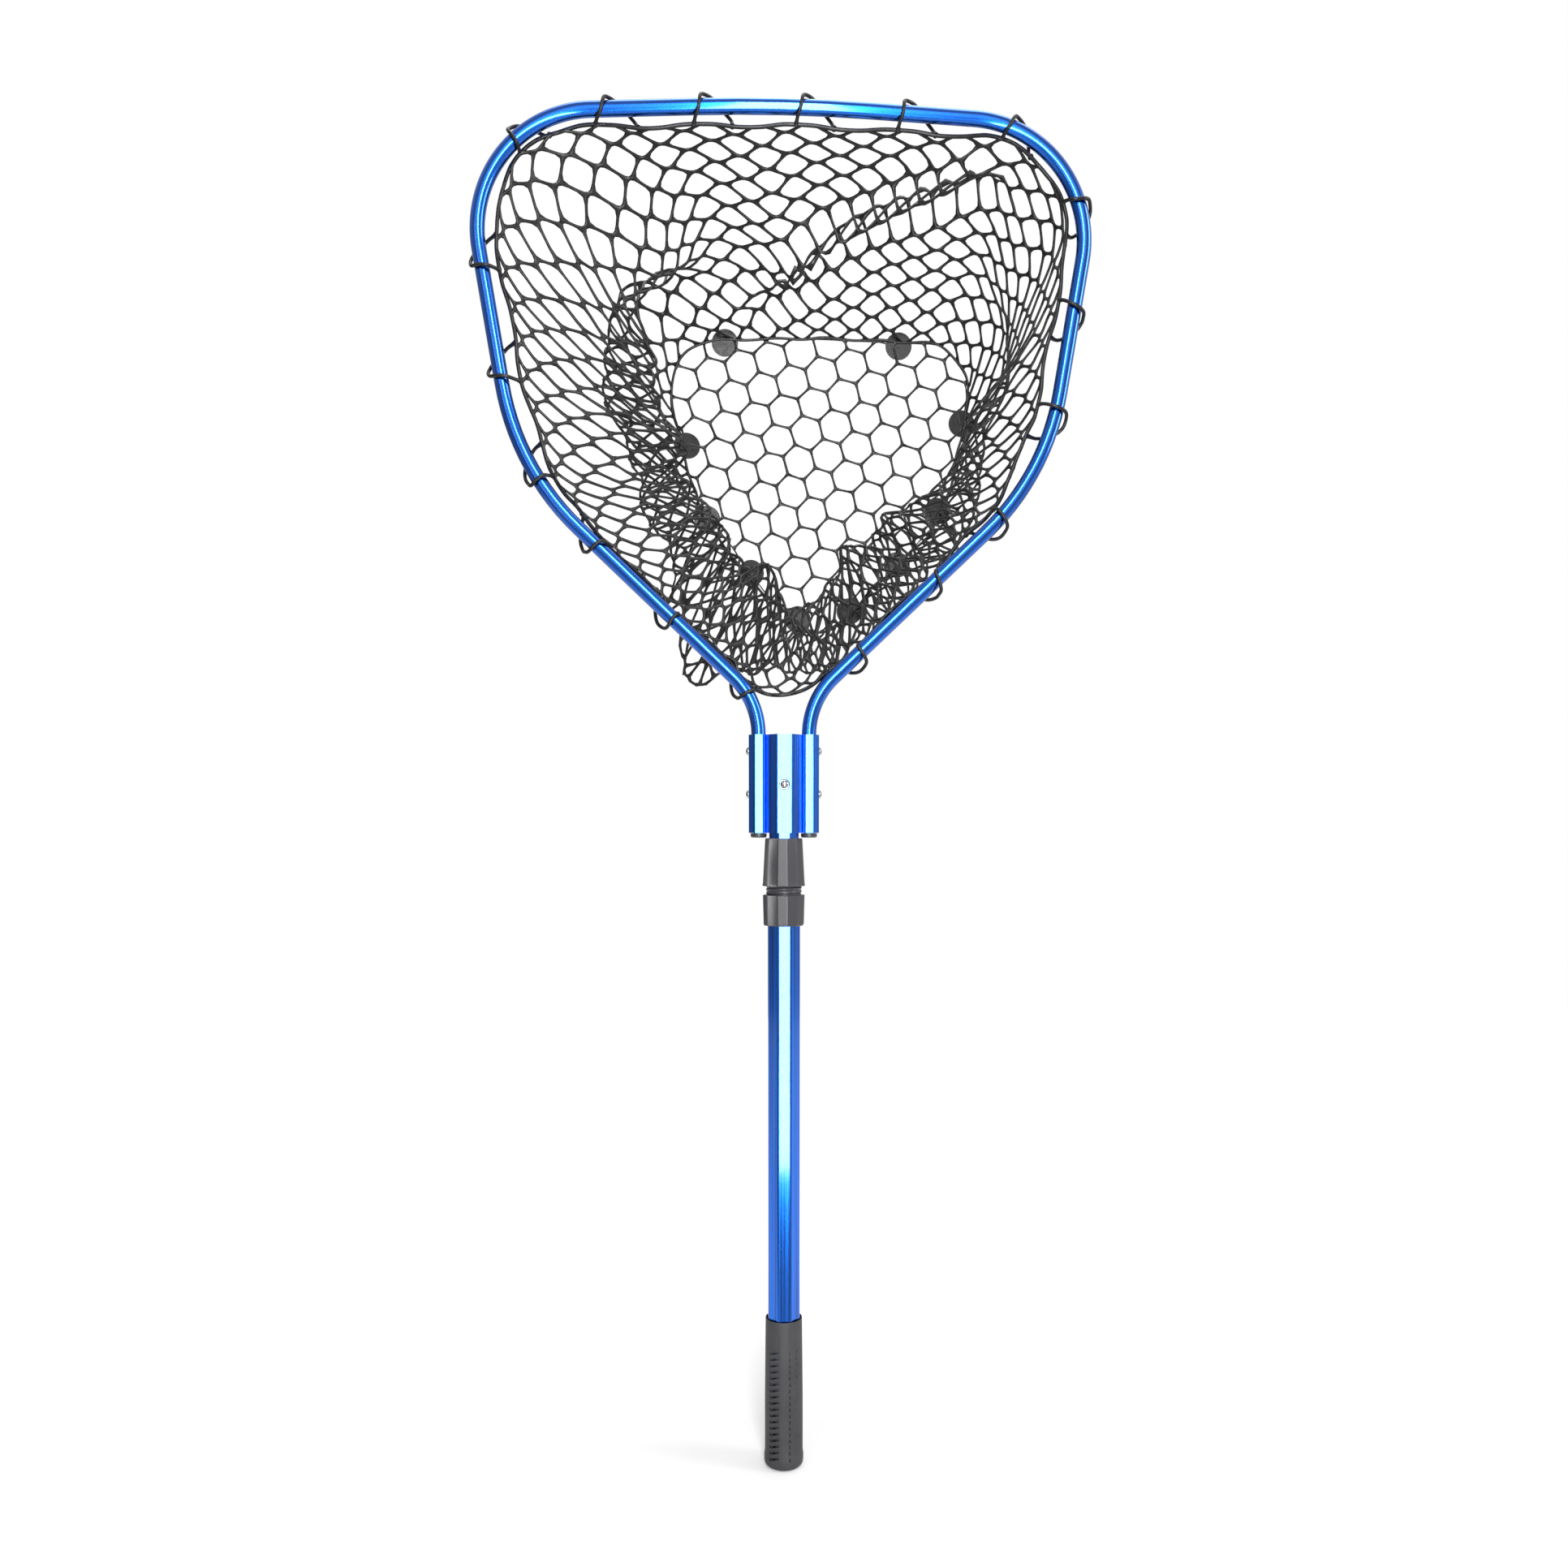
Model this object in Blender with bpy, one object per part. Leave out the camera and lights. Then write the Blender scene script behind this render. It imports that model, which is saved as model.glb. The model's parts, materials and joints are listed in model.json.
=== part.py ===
"""Telescoping landing net, modelled in metres.

The origin is the centre of the flat butt end. +Z runs up the pole, -Y is the front, where the snap
button is, and +Y is the side that the net bag hangs on. Pieces of the sliding head hang from an empty
at the foot of the yoke, so their heights are measured from there.
"""
from math import atan2, ceil, cos, pi, radians, sin, sqrt, tan

import bmesh
import bpy
from mathutils import Vector

# Clearances
GAP = 0.0003             # between two pieces that touch in the real net
SLIDE_GAP = 0.0003       # round the inner pole, where it slides
THREAD_GAP = 0.0003      # between the thread's crests and the lock nut
HEAD_STANDOFF = 0.0006   # between the closed head and the lock nut

# Outer pole, an octagonal tube
POLE_FLATS = 0.0264
POLE_WALL = 0.0009
POLE_LENGTH = 0.4737

# Grip
GRIP_LENGTH = 0.1265
GRIP_FLOOR = 0.004
GRIP_EDGE = 0.005
GRIP_FLARE_WALL = 0.00195   # walls are taken at the corners of the octagonal bore
GRIP_FLARE_TOP = 0.012
GRIP_WAIST_WALL = 0.00145
GRIP_WAIST_HEIGHT = 0.060
GRIP_MOUTH_WALL = 0.0008
GRIP_LIP = 0.0008

# Threaded collar on the outer pole's end
COLLAR_LENGTH = 0.0252
COLLAR_CAP = 0.0024
COLLAR_TOP_WALL = 0.0024    # at the corners of the octagonal bore
COLLAR_FOOT_WALL = 0.0018
COLLAR_CHAMFER = 0.001
KNURL_SIDES = 12
THREAD_ROOT_WALL = 0.0007   # at the corners of the guide's octagonal bore
THREAD_DEPTH = 0.0008
THREAD_PITCH = 0.003
THREAD_LENGTH = 0.0243

# Lock nut and the split collet that it squeezes
NUT_STANDOFF = 0.0074    # thread left bare below the nut
NUT_LENGTH = 0.0391
NUT_FOOT_WALL = 0.0021      # round the thread's bore
NUT_TOP_WALL = 0.0007       # round the collet's bore
NUT_LIP = 0.002
NUT_STEP_HEIGHT = 0.0234
COLLET_WALL = 0.0006     # at the corners of its octagonal bore
COLLET_FOOT = 0.0239     # above the nut's foot
COLLET_SLIT = 0.002

# Inner pole and its guide bush
INNER_WALL = 0.001
INNER_LENGTH = 0.583
INNER_TOP_INSET = 0.0037  # below the yoke's top
BUSH_FLANGE = 0.0047
BUSH_SHANK = 0.015

# Yoke
YOKE_LENGTH = 0.080
YOKE_WALL = 0.0022          # round the pole's bore
BARREL_WALL = 0.00175       # round each side bore
BARREL_OVERLAP = 0.00185    # how deep a side barrel runs into the centre one

# Hoop: corner points of its centreline, which arcs round off
TUBE_DIAMETER = 0.012
TUBE_WALL = 0.0012
TUBE_FOOT = 0.0005
NECK_HEIGHT = 0.1078
NECK_RADIUS = 0.064
SHOULDER_X = 0.2146
SHOULDER_HEIGHT = 0.2918
SHOULDER_RADIUS = 0.200
CORNER_X = 0.2594
CORNER_HEIGHT = 0.5683
CORNER_RADIUS = 0.095
CROWN_HEIGHT = 0.5806
CROWN_RADIUS = 1.5

# Plugs under the yoke
PLUG_OVERHANG = 0.00065     # out past the tube
PLUG_HEAD = 0.0036
PLUG_EDGE = 0.0012
PLUG_SHANK_TOP = 0.009

# Rivets
RIVET_HEIGHTS = (0.0315, 0.0666)
RIVET_HEAD_DIAMETER = 0.0068
RIVET_HEAD_HEIGHT = 0.0022
RIVET_SHANK_DIAMETER = 0.0032
RIVET_TAIL_DIAMETER = 0.0048
RIVET_TAIL_LENGTH = 0.0015

# Snap button and its leaf spring
BUTTON_HEIGHT = 0.0394
BUTTON_DIAMETER = 0.0067
BUTTON_HOLE_DIAMETER = 0.0088
BUTTON_PROUD = 0.0007    # the dome's tip, out of the yoke's front
BUTTON_DOME = 0.0024
BUTTON_FLANGE_DIAMETER = 0.0090
BUTTON_FLANGE = 0.001
SPRING_WIDTH = 0.008
SPRING_LEAF = 0.0006
SPRING_REACH = 0.005     # above the button's axis
SPRING_DROP = 0.040      # below it

# Net: rim cord, loops round the tube, bag
RIM_INSET = 0.019        # from the tube's centreline
RIM_DIAMETER = 0.0035
RIM_FOOT_RADIUS = 0.030
LOOP_COUNT = 18
LOOP_FIRST = 0.114       # along the tube from its left end
LOOP_PITCH = 0.0841
LOOP_SPAN = 0.030
LOOP_STRAND = 0.003
LOOP_SLACK = 0.0006
BAG_WALL = 0.0010
BAG_STANDOFF = 0.0030    # behind the rim's centre plane
BAG_DEPTH = 0.190
BAG_FLOOR_X = 0.032
BAG_FLOOR_HEIGHT = 0.305
BAG_FLOOR_SHARE = 0.50   # floor panel's size over the mouth's
BAG_FLOOR_CROWN = 0.008
BAG_SAG = 0.020
BAG_ROWS = 7

# Facets
ROUND_SIDES = 24
TUBE_SIDES = 12
CORD_SIDES = 8
LOOP_SIDES = 6
ARC_STEP = radians(7.5)

# Heights that follow from the sizes above
POLE_FOOT = GRIP_FLOOR + GAP
POLE_TOP = POLE_FOOT + POLE_LENGTH
COLLAR_TOP = POLE_TOP + GAP + COLLAR_CAP
NUT_FOOT = COLLAR_TOP + NUT_STANDOFF
NUT_TOP = NUT_FOOT + NUT_LENGTH
YOKE_FOOT = NUT_TOP + HEAD_STANDOFF + PLUG_HEAD + GAP

# Widths that follow from the sizes above
OCTAGON_CORNER = 1 / cos(pi / 8)
SLEEVE_FLATS = POLE_FLATS + 2 * GAP
INNER_FLATS = POLE_FLATS - 2 * (POLE_WALL + SLIDE_GAP)
INNER_BORE_FLATS = INNER_FLATS - 2 * INNER_WALL
GUIDE_FLATS = INNER_FLATS + 2 * SLIDE_GAP
SLEEVE_CORNER = SLEEVE_FLATS / 2 * OCTAGON_CORNER
GUIDE_CORNER = GUIDE_FLATS / 2 * OCTAGON_CORNER
THREAD_ROOT = GUIDE_CORNER + THREAD_ROOT_WALL
THREAD_CREST = THREAD_ROOT + THREAD_DEPTH
COLLET_RADIUS = GUIDE_CORNER + COLLET_WALL
YOKE_FLATS = INNER_FLATS + 2 * (GAP + YOKE_WALL)
BARREL_FLATS = TUBE_DIAMETER + 2 * (GAP + BARREL_WALL)
ARM_X = YOKE_FLATS / 2 + BARREL_FLATS / 2 - BARREL_OVERLAP
TUBE_RADIUS = TUBE_DIAMETER / 2
RIM_RADIUS = RIM_DIAMETER / 2


# ---------------------------------------------------------------- helpers

def clear_scene():
    for obj in list(bpy.data.objects):
        bpy.data.objects.remove(obj, do_unlink=True)


def make_material(name, colour, roughness, metallic=0.0):
    material = bpy.data.materials.new(name)
    material.use_nodes = True
    shader = material.node_tree.nodes["Principled BSDF"]
    shader.inputs["Base Color"].default_value = (*colour, 1.0)
    shader.inputs["Roughness"].default_value = roughness
    shader.inputs["Metallic"].default_value = metallic
    return material


def add_object(name, bm, material, parent=None, location=(0.0, 0.0, 0.0)):
    """Turn a bmesh into a smooth-shaded object with sharp facets kept sharp."""
    bmesh.ops.recalc_face_normals(bm, faces=bm.faces[:])
    mesh = bpy.data.meshes.new(name)
    bm.to_mesh(mesh)
    bm.free()
    mesh.materials.append(material)
    mesh.shade_smooth()
    mesh.set_sharp_from_angle(angle=radians(32))
    obj = bpy.data.objects.new(name, mesh)
    obj.location = location
    obj.parent = parent
    bpy.context.scene.collection.objects.link(obj)
    return obj


def add_empty(name, location, parent=None):
    empty = bpy.data.objects.new(name, None)
    empty.location = location
    empty.parent = parent
    bpy.context.scene.collection.objects.link(empty)
    return empty


def circle_ring(radius, height, count=ROUND_SIDES):
    """Points round a circle about Z."""
    angles = [2 * pi * (i + 0.5) / count for i in range(count)]
    return [Vector((radius * cos(a), radius * sin(a), height)) for a in angles]


def around(radius, count=ROUND_SIDES):
    """Corner radius of the facets that clear a round of this radius."""
    return radius / cos(pi / count)


def polygon_ring(flats, height, count=ROUND_SIDES, sides=8, turn=0.0):
    """Points round a regular polygon about Z, given across its flats; turn is a flat's direction."""
    ring = []
    for i in range(count):
        angle = 2 * pi * (i + 0.5) / count
        step = 2 * pi / sides
        off_flat = (angle - turn + step / 2) % step - step / 2
        radius = flats / 2 / cos(off_flat)
        ring.append(Vector((radius * cos(angle), radius * sin(angle), height)))
    return ring


def skin_rings(bm, rings, looped=False):
    """Join each ring to the next. The ends are filled, or a looped skin joins the last to the first."""
    rows = [[bm.verts.new(point) for point in ring] for ring in rings]
    pairs = list(zip(rows, rows[1:]))
    if looped:
        pairs.append((rows[-1], rows[0]))
    else:
        bm.faces.new(rows[0])
        bm.faces.new(rows[-1])
    for lower, upper in pairs:
        for i in range(len(lower)):
            bm.faces.new((lower[i - 1], lower[i], upper[i], upper[i - 1]))


def ring_body(rings, looped=False):
    bm = bmesh.new()
    skin_rings(bm, rings, looped)
    return bm


def turned_rings(profile, axis, count):
    """Rings of a turned piece from (distance along the axis, radius) pairs."""
    side = axis.orthogonal().normalized()
    other = axis.cross(side)
    angles = [2 * pi * i / count for i in range(count)]
    return [[axis * along + (side * cos(a) + other * sin(a)) * radius for a in angles]
            for along, radius in profile]


def quarter_round(radius, steps):
    """(inset, rise) pairs from a flat end round to the side of a rounded edge."""
    angles = [pi / 2 * i / steps for i in range(steps + 1)]
    return [(radius * (1 - sin(a)), radius * (1 - cos(a))) for a in angles]


def rounded_path(corners, radii, closed=False):
    """Corner points in the XZ plane with each corner replaced by an arc of its radius."""
    count = len(corners)
    path = []
    for i, corner in enumerate(corners):
        radius = radii[i]
        if radius == 0 or (not closed and i in (0, count - 1)):
            path.append(corner)
            continue
        back = (corners[i - 1] - corner).normalized()
        ahead = (corners[(i + 1) % count] - corner).normalized()
        half = back.angle(ahead) / 2
        centre = corner + (back + ahead).normalized() * radius / sin(half)
        start = corner + back * radius / tan(half) - centre
        sweep = pi - 2 * half
        side = 1 if back.cross(ahead).y < 0 else -1
        steps = max(2, ceil(sweep / ARC_STEP))
        for k in range(steps + 1):
            angle = side * sweep * k / steps
            path.append(centre + Vector((start.x * cos(angle) + start.z * sin(angle), 0.0,
                                         start.z * cos(angle) - start.x * sin(angle))))
    return path


def swept_rings(path, radius, count, closed=False):
    """Circles of one radius across a path in the XZ plane."""
    rings = []
    last = len(path) - 1
    for i, point in enumerate(path):
        before = path[i - 1] if closed or i > 0 else point
        after = path[(i + 1) % len(path)] if closed or i < last else point
        along = (after - before).normalized()
        out = Vector((-along.z, 0.0, along.x))
        front = Vector((0.0, -1.0, 0.0))
        angles = [2 * pi * (k + 0.5) / count for k in range(count)]
        rings.append([point + (out * cos(a) + front * sin(a)) * radius for a in angles])
    return rings


def along_path(path, distance):
    """The point at a distance along a path, and the path's outward normal there."""
    for start, end in zip(path, path[1:]):
        run = (end - start).length
        if distance <= run:
            break
        distance -= run
    along = (end - start).normalized()
    return start + along * distance, Vector((-along.z, 0.0, along.x))


def nearest_on(outline, point):
    """The place on a closed outline that is nearest to a point."""
    best = None
    for start, end in zip(outline, outline[1:] + outline[:1]):
        run = end - start
        share = min(max((point - start).dot(run) / run.length_squared, 0.0), 1.0)
        place = start + run * share
        if best is None or (place - point).length < (best - point).length:
            best = place
    return best


def section_body(outline, holes, height):
    """Extrude an XY outline with holes from z = 0 up to a height."""
    bm = bmesh.new()
    edges = []
    for loop in [outline, *holes]:
        verts = [bm.verts.new((x, y, 0.0)) for x, y in loop]
        edges += [bm.edges.new((verts[i - 1], verts[i])) for i in range(len(verts))]
    bmesh.ops.triangle_fill(bm, edges=edges, use_beauty=True)
    grown = bmesh.ops.extrude_face_region(bm, geom=bm.faces[:])["geom"]
    raised = [item for item in grown if isinstance(item, bmesh.types.BMVert)]
    bmesh.ops.translate(bm, vec=(0.0, 0.0, height), verts=raised)
    return bm


def add_cutter(name, start, end, radius, material, parent):
    """A cylinder that only cuts: it is never one of the net's own pieces."""
    axis = (end - start).normalized()
    profile = [(0.0, radius), ((end - start).length, radius)]
    cutter = add_object(name, ring_body(turned_rings(profile, axis, 16)), material, parent, start)
    cutter.hide_render = True
    cutter.display_type = "WIRE"
    return cutter


def cut_with(obj, cutter):
    modifier = obj.modifiers.new(cutter.name, "BOOLEAN")
    modifier.operation = "DIFFERENCE"
    modifier.solver = "EXACT"
    modifier.object = cutter


# ---------------------------------------------------------------- handle

def build_outer_pole(material):
    rings = [polygon_ring(POLE_FLATS, 0.0, 8), polygon_ring(POLE_FLATS, POLE_LENGTH, 8),
             polygon_ring(POLE_FLATS - 2 * POLE_WALL, POLE_LENGTH, 8),
             polygon_ring(POLE_FLATS - 2 * POLE_WALL, 0.0, 8)]
    add_object("outer_pole", ring_body(rings, looped=True), material, location=(0.0, 0.0, POLE_FOOT))


def build_grip(material):
    flare = SLEEVE_CORNER + GRIP_FLARE_WALL
    waist = SLEEVE_CORNER + GRIP_WAIST_WALL
    mouth = SLEEVE_CORNER + GRIP_MOUTH_WALL
    rings = [circle_ring(flare - inset, rise) for inset, rise in quarter_round(GRIP_EDGE, 4)]
    rings.append(circle_ring(waist, GRIP_FLARE_TOP))
    rings.append(circle_ring(waist, GRIP_WAIST_HEIGHT))
    rings.append(circle_ring(mouth, GRIP_LENGTH - GRIP_LIP))
    rings.append(circle_ring(mouth - GRIP_MOUTH_WALL / 2, GRIP_LENGTH))
    rings.append(polygon_ring(SLEEVE_FLATS, GRIP_LENGTH))
    rings.append(polygon_ring(SLEEVE_FLATS, GRIP_FLOOR))
    add_object("grip", ring_body(rings), material)


def thread_ring(height, root_only):
    """One ring of a right-hand thread: its crest climbs a pitch with each turn."""
    ring = []
    for i in range(ROUND_SIDES):
        angle = 2 * pi * (i + 0.5) / ROUND_SIDES
        phase = height / THREAD_PITCH - angle / (2 * pi)
        rise = 0.0 if root_only else THREAD_DEPTH * (0.5 - 0.5 * cos(2 * pi * phase))
        radius = THREAD_ROOT + rise
        ring.append(Vector((radius * cos(angle), radius * sin(angle), COLLAR_LENGTH + height)))
    return ring


def build_threaded_collar(material):
    turn = 2 * pi * 1.5 / ROUND_SIDES
    foot_flats = 2 * (SLEEVE_CORNER + COLLAR_FOOT_WALL)
    top_flats = 2 * (SLEEVE_CORNER + COLLAR_TOP_WALL)
    rings = [polygon_ring(foot_flats - 2 * COLLAR_CHAMFER, 0.0, sides=KNURL_SIDES, turn=turn),
             polygon_ring(foot_flats, COLLAR_CHAMFER, sides=KNURL_SIDES, turn=turn),
             polygon_ring(top_flats, COLLAR_LENGTH, sides=KNURL_SIDES, turn=turn)]
    rows = ceil(THREAD_LENGTH / THREAD_PITCH * 4)
    for k in range(rows + 1):
        rings.append(thread_ring(THREAD_LENGTH * k / rows, k in (0, rows)))
    seat = COLLAR_LENGTH - COLLAR_CAP
    rings.append(polygon_ring(GUIDE_FLATS, COLLAR_LENGTH + THREAD_LENGTH))
    rings.append(polygon_ring(GUIDE_FLATS, seat))
    rings.append(polygon_ring(SLEEVE_FLATS, seat))
    rings.append(polygon_ring(SLEEVE_FLATS, 0.0))
    foot = COLLAR_TOP - COLLAR_LENGTH
    add_object("threaded_collar", ring_body(rings, looped=True), material, location=(0.0, 0.0, foot))


# ---------------------------------------------------------------- twist lock

def build_lock_nut(material, frame):
    turn = 2 * pi * 1.5 / ROUND_SIDES
    thread_bore = around(THREAD_CREST + THREAD_GAP)
    collet_bore = around(COLLET_RADIUS + GAP)
    lip_bore = around(INNER_FLATS / 2 * OCTAGON_CORNER + SLIDE_GAP)
    foot_flats = 2 * (thread_bore + NUT_FOOT_WALL)
    top_flats = 2 * (collet_bore + NUT_TOP_WALL)
    rings = [polygon_ring(foot_flats, 0.0, sides=KNURL_SIDES, turn=turn),
             polygon_ring(top_flats, NUT_LENGTH, sides=KNURL_SIDES, turn=turn),
             circle_ring(lip_bore, NUT_LENGTH),
             circle_ring(lip_bore, NUT_LENGTH - NUT_LIP),
             circle_ring(collet_bore, NUT_LENGTH - NUT_LIP),
             circle_ring(collet_bore, NUT_STEP_HEIGHT),
             circle_ring(thread_bore, NUT_STEP_HEIGHT),
             circle_ring(thread_bore, 0.0)]
    add_object("lock_nut", ring_body(rings, looped=True), material, frame)


def build_collet(material, frame):
    """A ring with an octagonal bore, split at the back."""
    half_slit = COLLET_SLIT / 2
    start = atan2(half_slit, COLLET_RADIUS)
    outline = []
    for i in range(ROUND_SIDES + 1):
        angle = start + (2 * pi - 2 * start) * i / ROUND_SIDES
        outline.append((COLLET_RADIUS * cos(angle), COLLET_RADIUS * sin(angle)))
    outline.append((GUIDE_FLATS / 2, -half_slit))
    for i in range(8):
        angle = -pi / 8 - i * pi / 4
        outline.append((GUIDE_CORNER * cos(angle), GUIDE_CORNER * sin(angle)))
    outline.append((GUIDE_FLATS / 2, half_slit))
    turned = [(-y, x) for x, y in outline]
    height = NUT_LENGTH - NUT_LIP - GAP - COLLET_FOOT
    add_object("collet", section_body(turned, [], height), material, frame, (0.0, 0.0, COLLET_FOOT))


# ---------------------------------------------------------------- sliding head

def build_inner_pole(material, frame):
    top = YOKE_LENGTH - INNER_TOP_INSET
    foot = top - INNER_LENGTH
    rings = [polygon_ring(INNER_FLATS, foot, 8), polygon_ring(INNER_FLATS, top, 8),
             polygon_ring(INNER_BORE_FLATS, top, 8), polygon_ring(INNER_BORE_FLATS, foot, 8)]
    return add_object("inner_pole", ring_body(rings, looped=True), material, frame)


def build_guide_bush(material, frame):
    """A plug in the inner pole's foot, whose flange runs in the outer pole."""
    top = YOKE_LENGTH - INNER_TOP_INSET - INNER_LENGTH - GAP
    shank_flats = INNER_BORE_FLATS - 2 * GAP
    rings = [polygon_ring(INNER_FLATS, top - BUSH_FLANGE, 8), polygon_ring(INNER_FLATS, top, 8),
             polygon_ring(shank_flats, top, 8), polygon_ring(shank_flats, top + BUSH_SHANK, 8)]
    add_object("guide_bush", ring_body(rings), material, frame)


def yoke_outline():
    """One octagon for the pole with a smaller one run into each side of it."""
    centre = YOKE_FLATS / 2
    centre_side = centre * tan(pi / 8)
    barrel = BARREL_FLATS / 2
    barrel_side = barrel * tan(pi / 8)
    joint = barrel_side + centre - (ARM_X - barrel)
    quarter = [(ARM_X + barrel, barrel_side), (ARM_X + barrel_side, barrel),
               (ARM_X - barrel_side, barrel), (centre, joint), (centre, centre_side),
               (centre_side, centre)]
    upper = quarter + [(-x, y) for x, y in reversed(quarter)]
    return upper + [(x, -y) for x, y in reversed(upper)]


def build_yoke(material, frame):
    pole_bore = [(p.x, p.y) for p in polygon_ring(YOKE_FLATS - 2 * YOKE_WALL, 0.0, 8)]
    arm_bore = circle_ring(around(TUBE_RADIUS + GAP, 16), 0.0, 16)
    holes = [pole_bore] + [[(p.x + x, p.y) for p in arm_bore] for x in (-ARM_X, ARM_X)]
    return add_object("yoke", section_body(yoke_outline(), holes, YOKE_LENGTH), material, frame)


def hoop_path():
    """The tube's centreline, from the left end over the crown to the right end."""
    corners = ((CORNER_X, CORNER_HEIGHT), (SHOULDER_X, SHOULDER_HEIGHT), (ARM_X, NECK_HEIGHT),
               (ARM_X, TUBE_FOOT))
    right = [Vector((x, 0.0, height)) for x, height in corners]
    left = [Vector((-p.x, 0.0, p.z)) for p in reversed(right)]
    radii = [0, NECK_RADIUS, SHOULDER_RADIUS, CORNER_RADIUS, CROWN_RADIUS,
             CORNER_RADIUS, SHOULDER_RADIUS, NECK_RADIUS, 0]
    return rounded_path(left + [Vector((0.0, 0.0, CROWN_HEIGHT))] + right, radii)


def build_hoop(material, frame):
    path = hoop_path()
    outer = swept_rings(path, TUBE_RADIUS, TUBE_SIDES)
    inner = swept_rings(path, TUBE_RADIUS - TUBE_WALL, TUBE_SIDES)
    return add_object("hoop", ring_body(outer + inner[::-1], looped=True), material, frame)


def build_hoop_plugs(material, frame):
    head = TUBE_RADIUS + PLUG_OVERHANG
    shank = (TUBE_RADIUS - TUBE_WALL) * cos(pi / TUBE_SIDES) - GAP
    foot = -GAP - PLUG_HEAD
    for side, x in (("left", -ARM_X), ("right", ARM_X)):
        rings = [circle_ring(head - inset, foot + rise) for inset, rise in quarter_round(PLUG_EDGE, 3)]
        rings.append(circle_ring(head, -GAP))
        rings.append(circle_ring(shank, -GAP))
        rings.append(circle_ring(shank, PLUG_SHANK_TOP))
        add_object("hoop_plug_" + side, ring_body(rings), material, frame, (x, 0.0, 0.0))


def build_rivets(material, frame, yoke, hoop, cutter_material):
    """Domed rivets through each barrel's outer wall and the tube's wall."""
    face = ARM_X + BARREL_FLATS / 2
    bore = TUBE_RADIUS - TUBE_WALL
    tail_radius = RIVET_TAIL_DIAMETER / 2
    tail = ARM_X + sqrt(bore ** 2 - tail_radius ** 2) - GAP
    shank_radius = RIVET_SHANK_DIAMETER / 2
    head_radius = RIVET_HEAD_DIAMETER / 2
    under_head = face + GAP
    dome = [(under_head + RIVET_HEAD_HEIGHT * sin(a), head_radius * cos(a))
            for a in (0.0, radians(25), radians(50), radians(72))]
    profile = [(tail - RIVET_TAIL_LENGTH, tail_radius), (tail, tail_radius), (tail, shank_radius),
               (under_head, shank_radius)] + dome
    for side, sign in (("left", -1), ("right", 1)):
        axis = Vector((sign, 0.0, 0.0))
        for place, height in zip(("lower", "upper"), RIVET_HEIGHTS):
            name = "rivet_" + side + "_" + place
            add_object(name, ring_body(turned_rings(profile, axis, 12)), material, frame,
                       (0.0, 0.0, height))
            start = Vector((sign * ARM_X, 0.0, height))
            end = Vector((sign * (face + 2 * GAP), 0.0, height))
            cutter = add_cutter(name + "_hole", start, end, around(shank_radius + GAP, 16),
                                cutter_material, frame)
            cut_with(yoke, cutter)
            cut_with(hoop, cutter)


def build_snap_button(material, frame, yoke, inner_pole, cutter_material):
    """A domed button that stands through the inner pole into the yoke's front hole."""
    front = YOKE_FLATS / 2
    radius = BUTTON_DIAMETER / 2
    flange_radius = BUTTON_FLANGE_DIAMETER / 2
    flange_front = INNER_BORE_FLATS / 2 - GAP
    shoulder = front + BUTTON_PROUD - BUTTON_DOME
    dome = [(shoulder + BUTTON_DOME * sin(a), radius * cos(a))
            for a in (0.0, radians(22), radians(44), radians(64), radians(80))]
    profile = [(flange_front - BUTTON_FLANGE, flange_radius), (flange_front, flange_radius),
               (flange_front, radius)] + dome
    axis = Vector((0.0, -1.0, 0.0))
    place = Vector((0.0, 0.0, BUTTON_HEIGHT))
    add_object("snap_button", ring_body(turned_rings(profile, axis, 16)), material, frame, place)
    yoke_cutter = add_cutter("yoke_button_hole", place + axis * (INNER_FLATS / 2),
                             place + axis * (front + GAP), BUTTON_HOLE_DIAMETER / 2,
                             cutter_material, frame)
    cut_with(yoke, yoke_cutter)
    pole_cutter = add_cutter("pole_button_hole", place + axis * flange_front,
                             place + axis * (INNER_FLATS / 2 + GAP / 2),
                             around(radius + GAP, 16), cutter_material, frame)
    cut_with(inner_pole, pole_cutter)


def build_button_spring(material, frame):
    """A bent leaf: one arm behind the button, the other along the pole's back wall."""
    half = SPRING_LEAF / 2
    front = -(INNER_BORE_FLATS / 2 - GAP - BUTTON_FLANGE - GAP - half)
    back = INNER_BORE_FLATS / 2 - GAP - half
    path = [Vector((0.0, front, SPRING_REACH)), Vector((0.0, front, -SPRING_REACH)),
            Vector((0.0, -back / 8, half - SPRING_DROP)), Vector((0.0, back / 8, half - SPRING_DROP)),
            Vector((0.0, back, SPRING_REACH - SPRING_DROP)), Vector((0.0, back, SPRING_REACH))]
    rings = []
    for i, point in enumerate(path):
        before = path[max(i - 1, 0)]
        after = path[min(i + 1, len(path) - 1)]
        along = (after - before).normalized()
        out = Vector((0.0, -along.z, along.y)) * half
        wide = Vector((SPRING_WIDTH / 2, 0.0, 0.0))
        rings.append([point + out + wide, point + out - wide, point - out - wide, point - out + wide])
    add_object("button_spring", ring_body(rings), material, frame, (0.0, 0.0, BUTTON_HEIGHT))


# ---------------------------------------------------------------- net

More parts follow.
